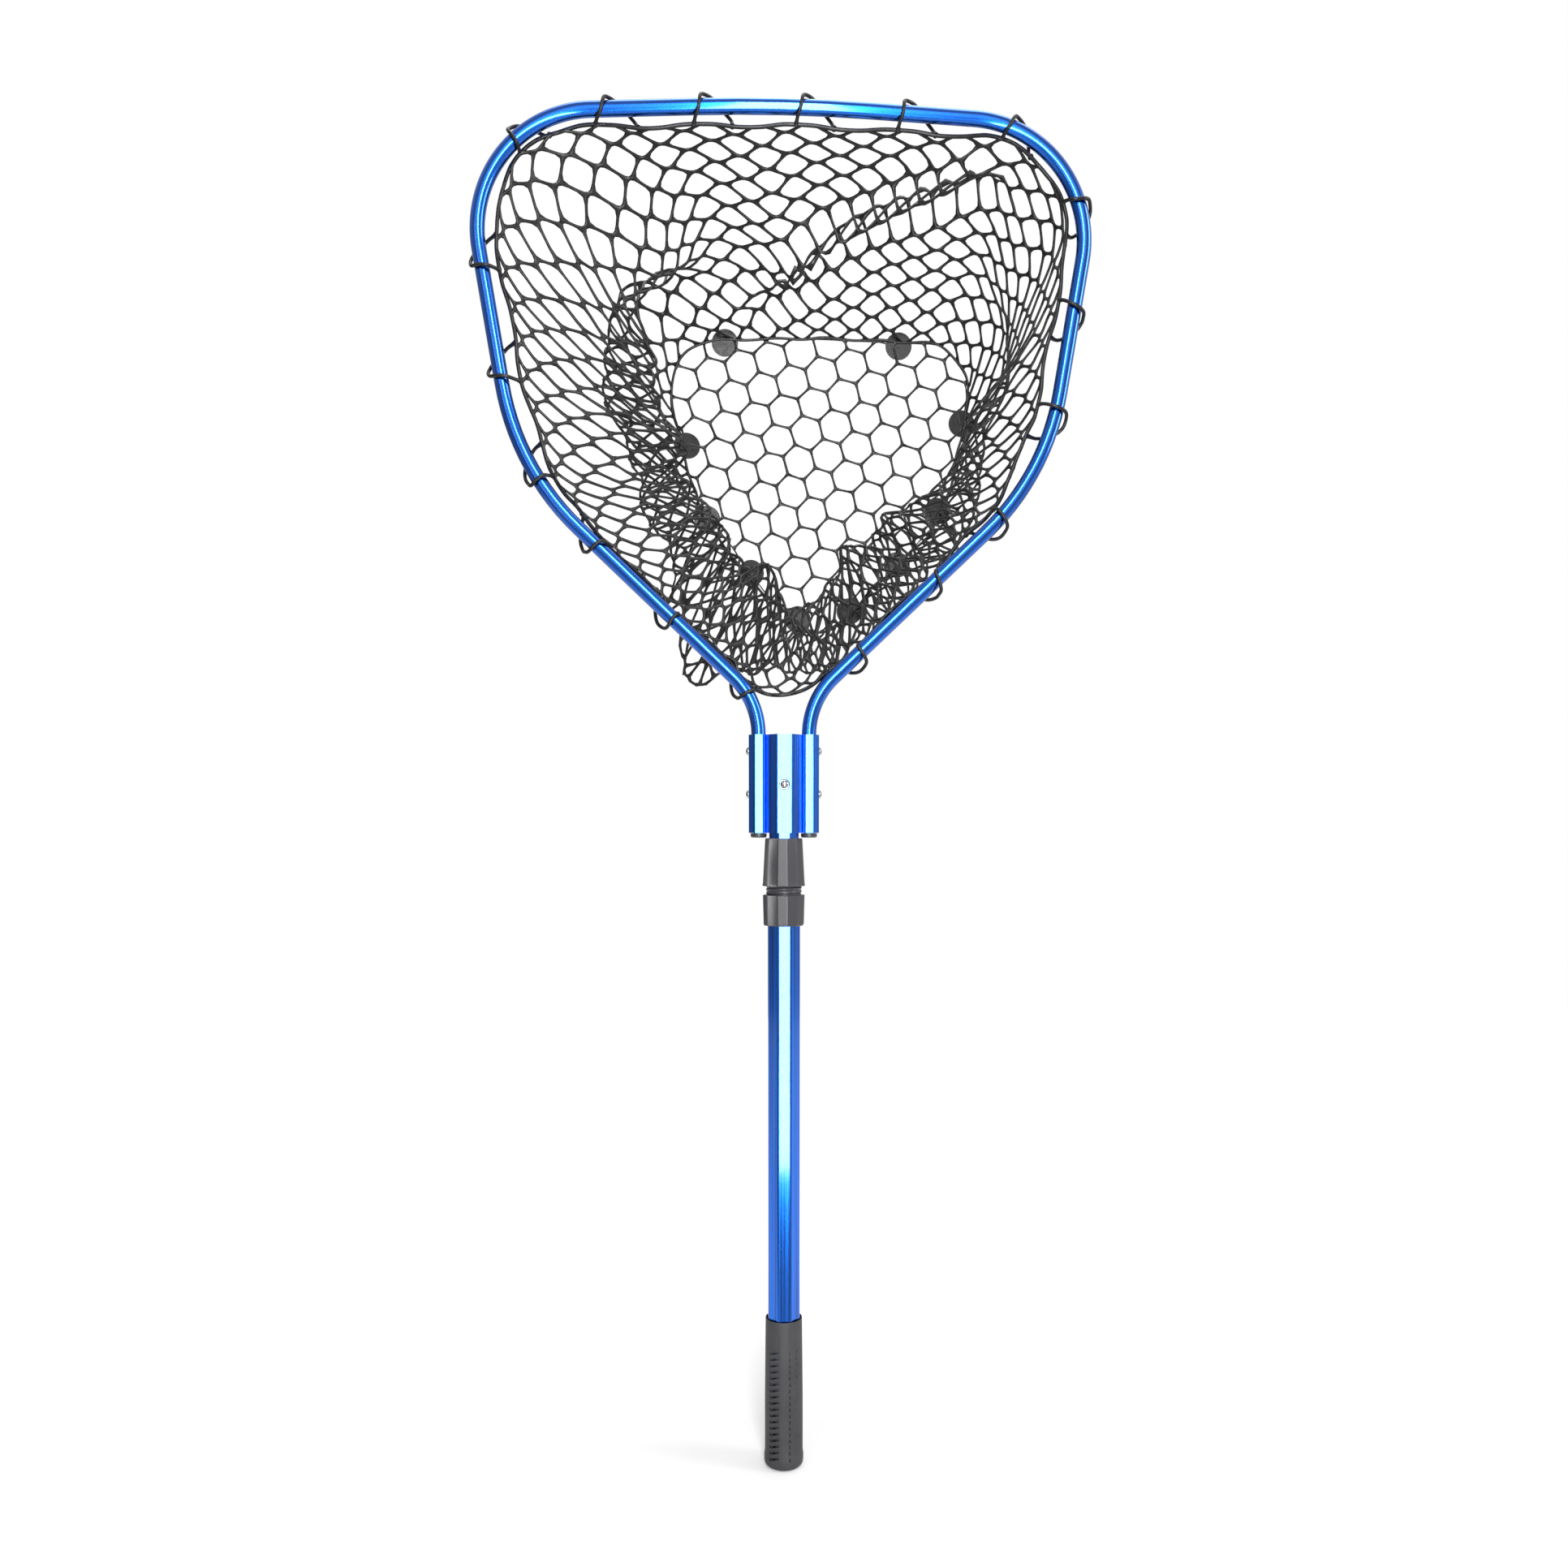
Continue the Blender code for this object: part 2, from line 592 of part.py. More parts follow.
def rim_path():
    """The hoop's outline without its neck, moved inward, with a round foot."""
    slope = (SHOULDER_HEIGHT - NECK_HEIGHT) / (SHOULDER_X - ARM_X)
    foot = Vector((0.0, 0.0, NECK_HEIGHT - ARM_X * slope))
    outline = [foot, Vector((-SHOULDER_X, 0.0, SHOULDER_HEIGHT)), Vector((-CORNER_X, 0.0, CORNER_HEIGHT)),
               Vector((0.0, 0.0, CROWN_HEIGHT)), Vector((CORNER_X, 0.0, CORNER_HEIGHT)),
               Vector((SHOULDER_X, 0.0, SHOULDER_HEIGHT))]
    corners = []
    for i, corner in enumerate(outline):
        back = (outline[i - 1] - corner).normalized()
        ahead = (outline[(i + 1) % len(outline)] - corner).normalized()
        half = back.angle(ahead) / 2
        corners.append(corner + (back + ahead).normalized() * RIM_INSET / sin(half))
    radii = [RIM_FOOT_RADIUS, SHOULDER_RADIUS - RIM_INSET, CORNER_RADIUS - RIM_INSET,
             CROWN_RADIUS - RIM_INSET, CORNER_RADIUS - RIM_INSET, SHOULDER_RADIUS - RIM_INSET]
    return rounded_path(corners, radii, closed=True)


def build_net_rim(material, frame):
    rings = swept_rings(rim_path(), RIM_RADIUS, CORD_SIDES, closed=True)
    add_object("net_rim", ring_body(rings, looped=True), material, frame)


def loop_path(start):
    """A strand from the rim over the tube's front, round its outer side and back behind it."""
    tube, rim = hoop_path(), rim_path()
    bend = TUBE_RADIUS + LOOP_SLACK + LOOP_STRAND / 2
    turns = [radians(degrees) for degrees in (240, 270, 305, 340, 20, 55, 90, 120)]
    steps = len(turns) + 1
    path = []
    for k in range(steps + 1):
        point, out = along_path(tube, start + LOOP_SPAN * k / steps)
        if 0 < k < steps:
            turn = turns[k - 1]
            path.append(point + out * bend * cos(turn) + Vector((0.0, bend * sin(turn), 0.0)))
            continue
        root = nearest_on(rim, point)
        lift = Vector((0.0, -LOOP_STRAND / 4 if k == 0 else LOOP_STRAND / 4, 0.0))
        path.append(root + (point - root).normalized() * (RIM_RADIUS + GAP + LOOP_STRAND / 2) + lift)
    return path


def strand_rings(path, radius, count):
    """Circles across any open path, each turned as little as possible from the one before."""
    rings = []
    side = None
    for i, point in enumerate(path):
        before = path[max(i - 1, 0)]
        after = path[min(i + 1, len(path) - 1)]
        along = (after - before).normalized()
        side = along.orthogonal() if side is None else side - along * side.dot(along)
        side.normalize()
        other = along.cross(side)
        angles = [2 * pi * k / count for k in range(count)]
        rings.append([point + (side * cos(a) + other * sin(a)) * radius for a in angles])
    return rings


def build_net_loops(material, frame):
    for number in range(LOOP_COUNT):
        path = loop_path(LOOP_FIRST - LOOP_SPAN / 2 + LOOP_PITCH * number)
        rings = strand_rings(path, LOOP_STRAND / 2, LOOP_SIDES)
        add_object(f"net_loop_{number + 1:02d}", ring_body(rings), material, frame)


def bag_rings():
    """Rings from the mouth to the floor panel's edge, then two inside the panel."""
    mouth = rim_path()
    middle = Vector((0.0, 0.0, (max(p.z for p in mouth) + min(p.z for p in mouth)) / 2))
    floor = Vector((BAG_FLOOR_X, 0.0, BAG_FLOOR_HEIGHT))
    rings = []
    for row in range(BAG_ROWS + 1):
        share = row / BAG_ROWS
        scale = 1 - (1 - BAG_FLOOR_SHARE) * share ** 2.5
        depth = BAG_STANDOFF + BAG_DEPTH * sin(share * pi / 2) ** 1.2
        centre = middle.lerp(floor, share ** 1.5)
        ring = [centre + (p - middle) * scale for p in mouth]
        low = min(p.z for p in ring)
        high = max(p.z for p in ring)
        for p in ring:
            p.y = depth
            p.z -= BAG_SAG * sin(pi * share) ** 2 * ((high - p.z) / (high - low)) ** 2
        rings.append(ring)
    back = BAG_STANDOFF + BAG_DEPTH
    for shrink, rise in ((0.6, 0.7), (0.25, 1.0)):
        centre = floor + Vector((0.0, back + BAG_FLOOR_CROWN * rise, 0.0))
        rings.append([centre + (p - middle) * BAG_FLOOR_SHARE * shrink for p in mouth])
    return rings


def build_net_bag(material, frame):
    """A thin shell: the rim's outline drawn in, back and down to a flat floor panel."""
    bm = bmesh.new()
    rows = [[bm.verts.new(point) for point in ring] for ring in bag_rings()]
    bm.faces.new(rows[-1])
    for lower, upper in zip(rows, rows[1:]):
        for i in range(len(lower)):
            bm.faces.new((lower[i - 1], lower[i], upper[i], upper[i - 1]))
    bag = add_object("net_bag", bm, material, frame)
    solidify = bag.modifiers.new("wall", "SOLIDIFY")
    solidify.thickness = BAG_WALL
    solidify.offset = -1.0
    solidify.use_even_offset = True


def build_net():
    clear_scene()
    blue = make_material("blue_anodised_aluminium", (0.0, 0.10, 0.63), 0.28, 0.9)
    lock_plastic = make_material("dark_lock_plastic", (0.070, 0.070, 0.078), 0.45)
    grip_rubber = make_material("grip_rubber", (0.060, 0.060, 0.068), 0.62)
    net_rubber = make_material("black_net_rubber", (0.018, 0.018, 0.020), 0.42)
    steel = make_material("polished_steel", (0.75, 0.76, 0.78), 0.18, 1.0)
    cutter_material = make_material("cutter", (1.0, 0.4, 0.1), 0.5)

    build_outer_pole(blue)
    build_grip(grip_rubber)
    build_threaded_collar(lock_plastic)

    nut_frame = add_empty("nut_frame", (0.0, 0.0, NUT_FOOT))
    build_lock_nut(lock_plastic, nut_frame)
    build_collet(lock_plastic, nut_frame)

    head = add_empty("head_frame", (0.0, 0.0, YOKE_FOOT))
    inner_pole = build_inner_pole(blue, head)
    build_guide_bush(lock_plastic, head)
    yoke = build_yoke(blue, head)
    hoop = build_hoop(blue, head)
    build_hoop_plugs(lock_plastic, head)
    build_rivets(steel, head, yoke, hoop, cutter_material)
    build_snap_button(steel, head, yoke, inner_pole, cutter_material)
    build_button_spring(steel, head)
    build_net_rim(net_rubber, head)
    build_net_loops(net_rubber, head)
    build_net_bag(net_rubber, head)


build_net()
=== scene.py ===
"""Telescoping landing net, in metres: each piece that shows, in the order that the net is put together."""

import json
from math import ceil, cos, pi, radians, sin, tan

import bmesh
import bpy
import numpy as np
from mathutils import Matrix, Vector
from mathutils.bvhtree import BVHTree

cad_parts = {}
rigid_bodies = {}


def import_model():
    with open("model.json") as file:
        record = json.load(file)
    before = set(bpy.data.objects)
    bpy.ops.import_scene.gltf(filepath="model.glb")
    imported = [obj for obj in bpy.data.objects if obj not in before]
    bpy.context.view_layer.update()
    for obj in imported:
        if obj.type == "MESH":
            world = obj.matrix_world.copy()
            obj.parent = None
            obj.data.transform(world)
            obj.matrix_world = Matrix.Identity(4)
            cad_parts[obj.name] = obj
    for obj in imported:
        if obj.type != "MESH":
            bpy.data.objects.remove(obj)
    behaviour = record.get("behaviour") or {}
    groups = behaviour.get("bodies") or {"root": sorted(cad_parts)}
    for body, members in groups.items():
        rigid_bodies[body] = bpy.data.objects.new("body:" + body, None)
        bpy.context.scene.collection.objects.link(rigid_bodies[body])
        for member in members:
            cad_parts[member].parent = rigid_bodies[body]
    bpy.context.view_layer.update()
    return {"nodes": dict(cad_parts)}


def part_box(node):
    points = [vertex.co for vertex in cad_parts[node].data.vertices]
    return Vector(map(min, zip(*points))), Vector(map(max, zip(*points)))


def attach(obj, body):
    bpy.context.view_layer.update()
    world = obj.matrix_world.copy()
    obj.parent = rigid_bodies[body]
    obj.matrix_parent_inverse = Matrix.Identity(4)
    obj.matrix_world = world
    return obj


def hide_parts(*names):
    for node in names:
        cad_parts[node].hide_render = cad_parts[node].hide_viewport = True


for leftover in list(bpy.data.objects):
    bpy.data.objects.remove(leftover)
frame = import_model()
collection = bpy.context.scene.collection


# ---------------------------------------------------------------- camera
# A camera on a stand at the height of the yoke, a little to the left of the net and tipped down
# by three degrees. The lens is shifted up so that the whole net fits.
CAMERA_PLACE = (-0.045, -1.034, 0.5412)
CAMERA_TIP = 3.0              # degrees down
CAMERA_TURN = 2.5             # degrees to the right
LENS_LENGTH = 28.88           # mm, on a 36 mm sensor
LENS_RISE = 0.0658            # shift, as a share of the sensor

lens = bpy.data.cameras.new("front_lens")
lens.sensor_width = 36.0
lens.lens = LENS_LENGTH
lens.shift_y = LENS_RISE
camera = bpy.data.objects.new("front_camera", lens)
camera.location = CAMERA_PLACE
camera.rotation_euler = (radians(90 - CAMERA_TIP), 0.0, radians(-CAMERA_TURN))
collection.objects.link(camera)
bpy.context.scene.camera = camera
bpy.context.scene.view_settings.view_transform = "Standard"


# ---------------------------------------------------------------- studio
# A white vinyl floor in a white room, with a tall soft box in front and one on each side. Vinyl is matt, and
# it glows with painted light that is dim by the butt and full far from it, so it only takes a soft shadow
# under the butt.
FLOOR_HALF_WIDTH = 2.4
FLOOR_FRONT = -0.25
VINYL_WHITE = "#c2c2c2"
PAPER_WHITE = "#ffffff"
PAINTED_GLOW_NEAR, PAINTED_GLOW_FAR = 0.10, 0.60      # painted glow that the vinyl gives off, by the butt and far from it
PAINTED_GLOW_FROM, PAINTED_GLOW_TO = 0.08, 0.50       # where the painted glow starts to grow, and where it is full
ROOM_LEFT = 0.28              # how bright the room is to the left, to the right and overhead
ROOM_RIGHT = 0.75
ROOM_TOP = 0.90
SHARP_PAST = 32.0             # degrees: an edge that bends more than this stays crisp
# Each soft box: its name, its place, what it faces, its width, its height and its power in watts.
SOFT_BOXES = (("front_box", (0.03, -0.7, 0.77), (0.03, 0.0, 0.77), 0.12, 1.42, 14.0),
              ("fill_box", (0.0, -2.6, 1.35), (0.0, 0.0, 0.9), 2.6, 2.2, 15.0),
              ("left_box", (-1.5, -2.2, 1.2), (0.0, 0.0, 0.7), 0.25, 1.8, 8.0),
              ("right_box", (2.2, -0.6, 1.5), (0.0, 0.0, 0.4), 0.6, 1.6, 26.0),
              ("top_box", (0.3, 0.4, 3.4), (0.0, 0.0, 0.0), 2.0, 2.0, 34.0))


def tint(code):
    """An sRGB hex colour as linear RGBA."""
    shares = [int(code[i:i + 2], 16) / 255 for i in (1, 3, 5)]
    linear = [s / 12.92 if s <= 0.04045 else ((s + 0.055) / 1.055) ** 2.4 for s in shares]
    return (*linear, 1.0)


def feed(node, sockets):
    """Gives sockets values or links; a node stands for its first output, and a list for several links."""
    for name, value in sockets.items():
        for source in value if isinstance(value, list) else [value]:
            if isinstance(source, bpy.types.Node):
                source = source.outputs[0]
            if isinstance(source, bpy.types.NodeSocket):
                node.id_data.links.new(source, node.inputs[name])
            else:
                node.inputs[name].default_value = source
    return node


def add_node(tree, kind, sockets=None, **settings):
    """Adds a node with its settings, and feeds its sockets."""
    node = tree.nodes.new(kind)
    for name, value in settings.items():
        setattr(node, name, value)
    return feed(node, sockets or {})


def new_finish(name):
    """A material, its tree and its shader, ready for its own nodes."""
    finish = bpy.data.materials.new(name)
    finish.use_nodes = True
    return finish, finish.node_tree, finish.node_tree.nodes["Principled BSDF"]


def link_mesh(name, mesh, finish):
    """Puts a mesh in the scene as a piece with its place in its mesh."""
    mesh.materials.clear()
    mesh.materials.append(finish)
    piece = bpy.data.objects.new(name, mesh)
    collection.objects.link(piece)
    return piece


def shape_piece(name, shape, finish, sharp=SHARP_PAST):
    """Turns a bmesh into a smooth piece whose edges past an angle stay sharp."""
    mesh = bpy.data.meshes.new(name)
    shape.to_mesh(mesh)
    shape.free()
    mesh.shade_smooth()
    mesh.set_sharp_from_angle(angle=radians(sharp))
    return link_mesh(name, mesh, finish)


vinyl, vinyl_tree, vinyl_shader = new_finish("matt_white_vinyl")
vinyl_grain = add_node(vinyl_tree, "ShaderNodeTexNoise", {"Scale": 400.0, "Detail": 2.0})
vinyl_reach = add_node(vinyl_tree, "ShaderNodeVectorMath", {
    0: add_node(vinyl_tree, "ShaderNodeTexCoord").outputs["Object"]}, operation="LENGTH")
# Painted light: the vinyl glows, dim by the butt and full far from it, so the floor reads white except round
# the butt.
painted_floor_glow = add_node(vinyl_tree, "ShaderNodeMapRange", {
    "Value": vinyl_reach.outputs["Value"], "From Min": PAINTED_GLOW_FROM, "From Max": PAINTED_GLOW_TO,
    "To Min": PAINTED_GLOW_NEAR, "To Max": PAINTED_GLOW_FAR})
feed(vinyl_shader, {
    "Base Color": tint(VINYL_WHITE), "Roughness": 0.9, "Specular IOR Level": 0.1,
    "Normal": add_node(vinyl_tree, "ShaderNodeBump", {"Strength": 0.02, "Height": vinyl_grain}),
    "Emission Color": tint(PAPER_WHITE), "Emission Strength": painted_floor_glow})

floor = bmesh.new()
floor.faces.new([floor.verts.new((x, y, 0.0))
                 for x, y in ((-FLOOR_HALF_WIDTH, FLOOR_FRONT), (FLOOR_HALF_WIDTH, FLOOR_FRONT),
                              (FLOOR_HALF_WIDTH, FLOOR_HALF_WIDTH), (-FLOOR_HALF_WIDTH, FLOOR_HALF_WIDTH))])
shape_piece("studio_floor", floor, vinyl)

world = bpy.data.worlds.new("white_room")
world.use_nodes = True
bpy.context.scene.world = world
room = world.node_tree
room_way = add_node(room, "ShaderNodeSeparateXYZ", {
    "Vector": add_node(room, "ShaderNodeTexCoord").outputs["Generated"]})
room_side = add_node(room, "ShaderNodeMapRange", {
    "Value": room_way.outputs["X"], "From Min": -1.0, "To Min": ROOM_LEFT, "To Max": ROOM_RIGHT})
room_height = add_node(room, "ShaderNodeMath", {0: room_way.outputs["Z"]}, operation="ABSOLUTE")
room_light = add_node(room, "ShaderNodeMapRange", {
    "Value": room_height, "To Min": room_side, "To Max": ROOM_TOP})
room_glow = feed(room.nodes["Background"], {"Color": tint(PAPER_WHITE), "Strength": room_light})
room_white = add_node(room, "ShaderNodeBackground", {"Color": tint(PAPER_WHITE), "Strength": 1.0})
room_seen = add_node(room, "ShaderNodeMixShader", {
    0: add_node(room, "ShaderNodeLightPath").outputs["Is Camera Ray"], 1: room_glow, 2: room_white})
feed(room.nodes["World Output"], {"Surface": room_seen})

for name, place, aim, width, height, watts in SOFT_BOXES:
    light = bpy.data.lights.new(name, "AREA")
    light.shape = "RECTANGLE"
    light.size = width
    light.size_y = height
    light.energy = watts
    box = bpy.data.objects.new(name, light)
    box.location = place
    box.rotation_mode = "QUATERNION"
    box.rotation_quaternion = (Vector(aim) - Vector(place)).to_track_quat("-Z", "Y")
    box.visible_camera = False
    collection.objects.link(box)


# ---------------------------------------------------------------- outer pole
# An octagonal tube of extruded 6063 aluminium, 26.4 mm across its flats, dyed blue and anodised.
# The die leaves the corners rounded and fine lines along every flat.
POLE_CORNER = 0.0012          # radius that the die leaves on a corner
DIE_LINE = 0.0014             # mean width of a die line
DIE_RUN = 0.35                # mean length of a die line
DIE_DEPTH = 0.00004
FLAT_EDGE = 30.0              # degrees: a corner of an extrusion turns by more than this
ANODISED_BLUE = "#0a62cc"
ANODISED_DEEP = "#04489e"


def eased_copy(name, source, finish, corner, steps=3):
    """A frame node's shape, its triangles joined and its upright outer corners rounded."""
    shape = bmesh.new()
    shape.from_mesh(frame["nodes"][source].data)
    bmesh.ops.remove_doubles(shape, verts=shape.verts[:], dist=2e-6)
    bmesh.ops.dissolve_limit(shape, angle_limit=radians(0.5), verts=shape.verts[:], edges=shape.edges[:])
    upright = []
    for edge in shape.edges:
        run = edge.verts[1].co - edge.verts[0].co
        if len(edge.link_faces) == 2 and abs(run.z) > 0.99 * run.length and run.length > 0.002:
            if edge.calc_face_angle_signed() > radians(FLAT_EDGE):
                upright.append(edge)
    bmesh.ops.bevel(shape, geom=upright, offset=corner, segments=steps, profile=0.5, affect="EDGES")
    piece = shape_piece(name, shape, finish, 40.0)
    even = piece.modifiers.new("even_facets", "WEIGHTED_NORMAL")
    even.keep_sharp = True
    return piece


# Anodised aluminium: a bare metal shine seen through dyed oxide, so highlights stay nearly white and
# everything between them is a strong blue. Lines from the die run along the metal.
def anodised_aluminium(name, line, run, depth, attribute=None):
    """Blue anodised metal with lines of a mean width, length and depth, along Z or an attribute's Z."""
    finish, tree, shader = new_finish(name)
    if attribute:
        place = add_node(tree, "ShaderNodeAttribute", attribute_name=attribute).outputs["Vector"]
    else:
        place = add_node(tree, "ShaderNodeTexCoord").outputs["Object"]
    stretch = add_node(tree, "ShaderNodeMapping", {"Vector": place, "Scale": (1 / line, 1 / line, 1 / run)})
    lines = add_node(tree, "ShaderNodeTexNoise", {
        "Vector": stretch, "Scale": 1.0, "Detail": 1.0, "Roughness": 0.5})
    tones = add_node(tree, "ShaderNodeValToRGB", {"Fac": lines})
    for stop, at, tone in zip(tones.color_ramp.elements, (0.42, 0.54), (ANODISED_DEEP, ANODISED_BLUE)):
        stop.position = at
        stop.color = tint(tone)
    step = add_node(tree, "ShaderNodeMapRange", {"Value": lines, "From Min": 0.47, "From Max": 0.53})
    ridge = add_node(tree, "ShaderNodeBump", {"Strength": 0.8, "Distance": depth, "Height": step})
    gloss = add_node(tree, "ShaderNodeMapRange", {
        "Value": lines, "From Min": 0.3, "From Max": 0.7, "To Min": 0.17, "To Max": 0.27})
    feed(shader, {"Base Color": tones, "Metallic": 1.0, "Roughness": gloss, "Normal": ridge,
                  "Coat Weight": 0.65, "Coat Roughness": 0.09})
    return finish


blue_anodised = anodised_aluminium("blue_anodised_extrusion", DIE_LINE, DIE_RUN, DIE_DEPTH)
outer_pole = eased_copy("pole_tube", "outer_pole", blue_anodised, POLE_CORNER)
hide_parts("outer_pole")
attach(outer_pole, "handle")


# ---------------------------------------------------------------- grip
# A sleeve of soft black TPR, moulded as a cup and pushed on the pole's end. The mould leaves rows of
# slanted slots for the fingers, rows of small pips, and a matt skin.
GRIP_LOW, GRIP_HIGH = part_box("grip")
GRIP_FLARE = (GRIP_HIGH.x - GRIP_LOW.x) / 2
GRIP_TOP = GRIP_HIGH.z
GRIP_WAIST = GRIP_FLARE - 0.0005
GRIP_MOUTH = GRIP_FLARE - 0.00115
GRIP_BORE = GRIP_MOUTH - 0.0008
GRIP_FLOOR = 0.004
BUTT_EDGE = 0.005
SLOT_ROWS = 18
SLOT_PITCH = 0.0053
SLOT_FOOT = 0.0105            # height of the lowest slot
SLOT_SIZE = (0.0100, 0.0024, 0.0024)
SLOT_SINK = 0.0002            # how far under the skin the middles of slots, dashes and pips are
SLOT_SLANT = -22.0            # degrees
DASH_SIZE = (0.0010, 0.0020, 0.0030)
PIP_RADIUS = 0.0009
SLOT_BEARING, DASH_BEARING, PIP_BEARING = -34, 16, 43     # degrees from the front, and from the back
TPR_GREY = "#28282b"
TPR_DARK = "#1f1f22"


def turned(profile, sides=96):
    """A solid turned about Z from (radius, height) pairs; a radius of nought closes it to a point."""
    shape = bmesh.new()
    angles = [2 * pi * i / sides for i in range(sides)]
    rows = []
    for radius, height in profile:
        if radius == 0:
            rows.append([shape.verts.new((0.0, 0.0, height))] * sides)
        else:
            rows.append([shape.verts.new((radius * cos(a), radius * sin(a), height)) for a in angles])
    for low, high in zip(rows, rows[1:]):
        for i in range(sides):
            corners = [low[i - 1], low[i], high[i], high[i - 1]]
            corners = [v for k, v in enumerate(corners) if v not in corners[:k]]
            if len(corners) > 2:
                shape.faces.new(corners)
    bmesh.ops.recalc_face_normals(shape, faces=shape.faces[:])
    return shape


def grown_piece(name, base, tree, inputs, finish, sharp=None):
    """Runs a node tree on a base mesh and keeps the result as a plain mesh, its edges sharp past an angle."""
    carrier = bpy.data.objects.new(name, base)
    collection.objects.link(carrier)
    modifier = carrier.modifiers.new("shape", "NODES")
    modifier.node_group = tree
    inputs = dict(inputs, Finish=finish)
    for item in tree.interface.items_tree:
        if item.in_out == "INPUT" and item.name in inputs:
            modifier[item.identifier] = inputs[item.name]
    carrier.update_tag()
    graph = bpy.context.evaluated_depsgraph_get()
    mesh = bpy.data.meshes.new_from_object(carrier.evaluated_get(graph), depsgraph=graph)
    carrier.modifiers.remove(modifier)
    bpy.data.objects.remove(carrier)
    if sharp:
        mesh.shade_smooth()
        mesh.set_sharp_from_angle(angle=radians(sharp))
    return link_mesh(name, mesh, finish)


def new_tree(name, sizes):
    """An empty geometry tree with a geometry socket each way, named sizes and a finish."""
    tree = bpy.data.node_groups.new(name, "GeometryNodeTree")
    tree.interface.new_socket("Geometry", in_out="INPUT", socket_type="NodeSocketGeometry")
    for size, kind in sizes.items():
        tree.interface.new_socket(size, in_out="INPUT", socket_type=kind)
    tree.interface.new_socket("Finish", in_out="INPUT", socket_type="NodeSocketMaterial")
    tree.interface.new_socket("Geometry", in_out="OUTPUT", socket_type="NodeSocketGeometry")
    return tree, add_node(tree, "NodeGroupInput").outputs


def close_tree(tree, given, geometry):
    """Ends a geometry tree: instances made real, then the finish."""
    real = add_node(tree, "GeometryNodeRealizeInstances", {"Geometry": geometry})
    dressed = add_node(tree, "GeometryNodeSetMaterial", {"Geometry": real, "Material": given["Finish"]})
    add_node(tree, "NodeGroupOutput", {"Geometry": dressed})


def moulded_plastic(name, tones, stops, cloud, roughness, relief=None, grain=None, sockets=None):
    """A plastic in two tones that drift with a noise. Its roughness is one value, or a pair to drift
    between; its relief is a strength and a depth, on a finer grain if one is given."""
    finish, tree, shader = new_finish(name)
    place = add_node(tree, "ShaderNodeTexCoord").outputs["Object"]
    drift = add_node(tree, "ShaderNodeTexNoise", {"Vector": place, **cloud})
    ramp = add_node(tree, "ShaderNodeValToRGB", {"Fac": drift})
    for stop, at, tone in zip(ramp.color_ramp.elements, stops, tones):
        stop.position = at
        stop.color = tint(tone)
    if isinstance(roughness, tuple):
        roughness = add_node(tree, "ShaderNodeMapRange", {
            "Value": drift, "From Min": 0.3, "From Max": 0.7, "To Min": roughness[0], "To Max": roughness[1]})
    feed(shader, {"Base Color": ramp, "Roughness": roughness, **(sockets or {})})
    if relief:
        skin = add_node(tree, "ShaderNodeTexNoise", {"Vector": place, **grain}) if grain else drift
        feed(shader, {"Normal": add_node(tree, "ShaderNodeBump", {
            "Strength": relief[0], "Distance": relief[1], "Height": skin})})
    return finish


def column_nodes(tree, given, bearing, shape, turn):
    """Copies of a shape up the grip at a bearing from the front, each turned to face outward."""
    angle = radians(bearing) - pi / 2
    radius = GRIP_WAIST - SLOT_SINK
    column = add_node(tree, "GeometryNodeMeshLine", {
        "Count": given["Rows"], "Start Location": (radius * cos(angle), radius * sin(angle), SLOT_FOOT),
        "Offset": add_node(tree, "ShaderNodeCombineXYZ", {"Z": given["Pitch"]})})
    copies = add_node(tree, "GeometryNodeInstanceOnPoints", {
        "Points": column, "Instance": shape, "Rotation": (0.0, radians(turn), 0.0)})
    return add_node(tree, "GeometryNodeRotateInstances", {
        "Instances": copies, "Rotation": (0.0, 0.0, radians(bearing))})


grip_tree, given = new_tree("grip_slots_and_pips", {
    "Rows": "NodeSocketInt", "Pitch": "NodeSocketFloat", "Slot Size": "NodeSocketVector"})
slot = add_node(grip_tree, "GeometryNodeMeshCube", {"Size": given["Slot Size"]})
dash = add_node(grip_tree, "GeometryNodeMeshCube", {"Size": DASH_SIZE})
pip = add_node(grip_tree, "GeometryNodeMeshUVSphere", {"Segments": 12, "Rings": 6, "Radius": PIP_RADIUS})
cuts, pips = [], []
for side in (0, 180):
    for bearing, shape, turn, group in ((SLOT_BEARING, slot, SLOT_SLANT, cuts),
                                        (DASH_BEARING, dash, 0, cuts), (PIP_BEARING, pip, 0, pips)):
        group.append(column_nodes(grip_tree, given, bearing + side, shape, turn))
joined_cuts = add_node(grip_tree, "GeometryNodeJoinGeometry", {"Geometry": cuts})
cut_grip = add_node(grip_tree, "GeometryNodeMeshBoolean", {
    "Mesh 1": given["Geometry"],
    "Mesh 2": add_node(grip_tree, "GeometryNodeRealizeInstances", {"Geometry": joined_cuts})},
    operation="DIFFERENCE", solver="EXACT")
joined_pips = add_node(grip_tree, "GeometryNodeJoinGeometry", {"Geometry": pips})
whole_grip = add_node(grip_tree, "GeometryNodeJoinGeometry", {"Geometry": [cut_grip, joined_pips]})
close_tree(grip_tree, given, whole_grip)

# TPR, moulded in a spark-eroded tool: dark grey, matt, with a fine grain of about 0.4 mm that scatters
# what little shine it has, and a faint drift of tone over 20 mm.
tpr = moulded_plastic("matt_moulded_tpr", (TPR_DARK, TPR_GREY), (0.35, 0.65),
                      {"Scale": 1 / 0.02, "Detail": 2.0}, 0.62, (0.4, 0.0001),
                      {"Scale": 1 / 0.0004, "Detail": 3.0})

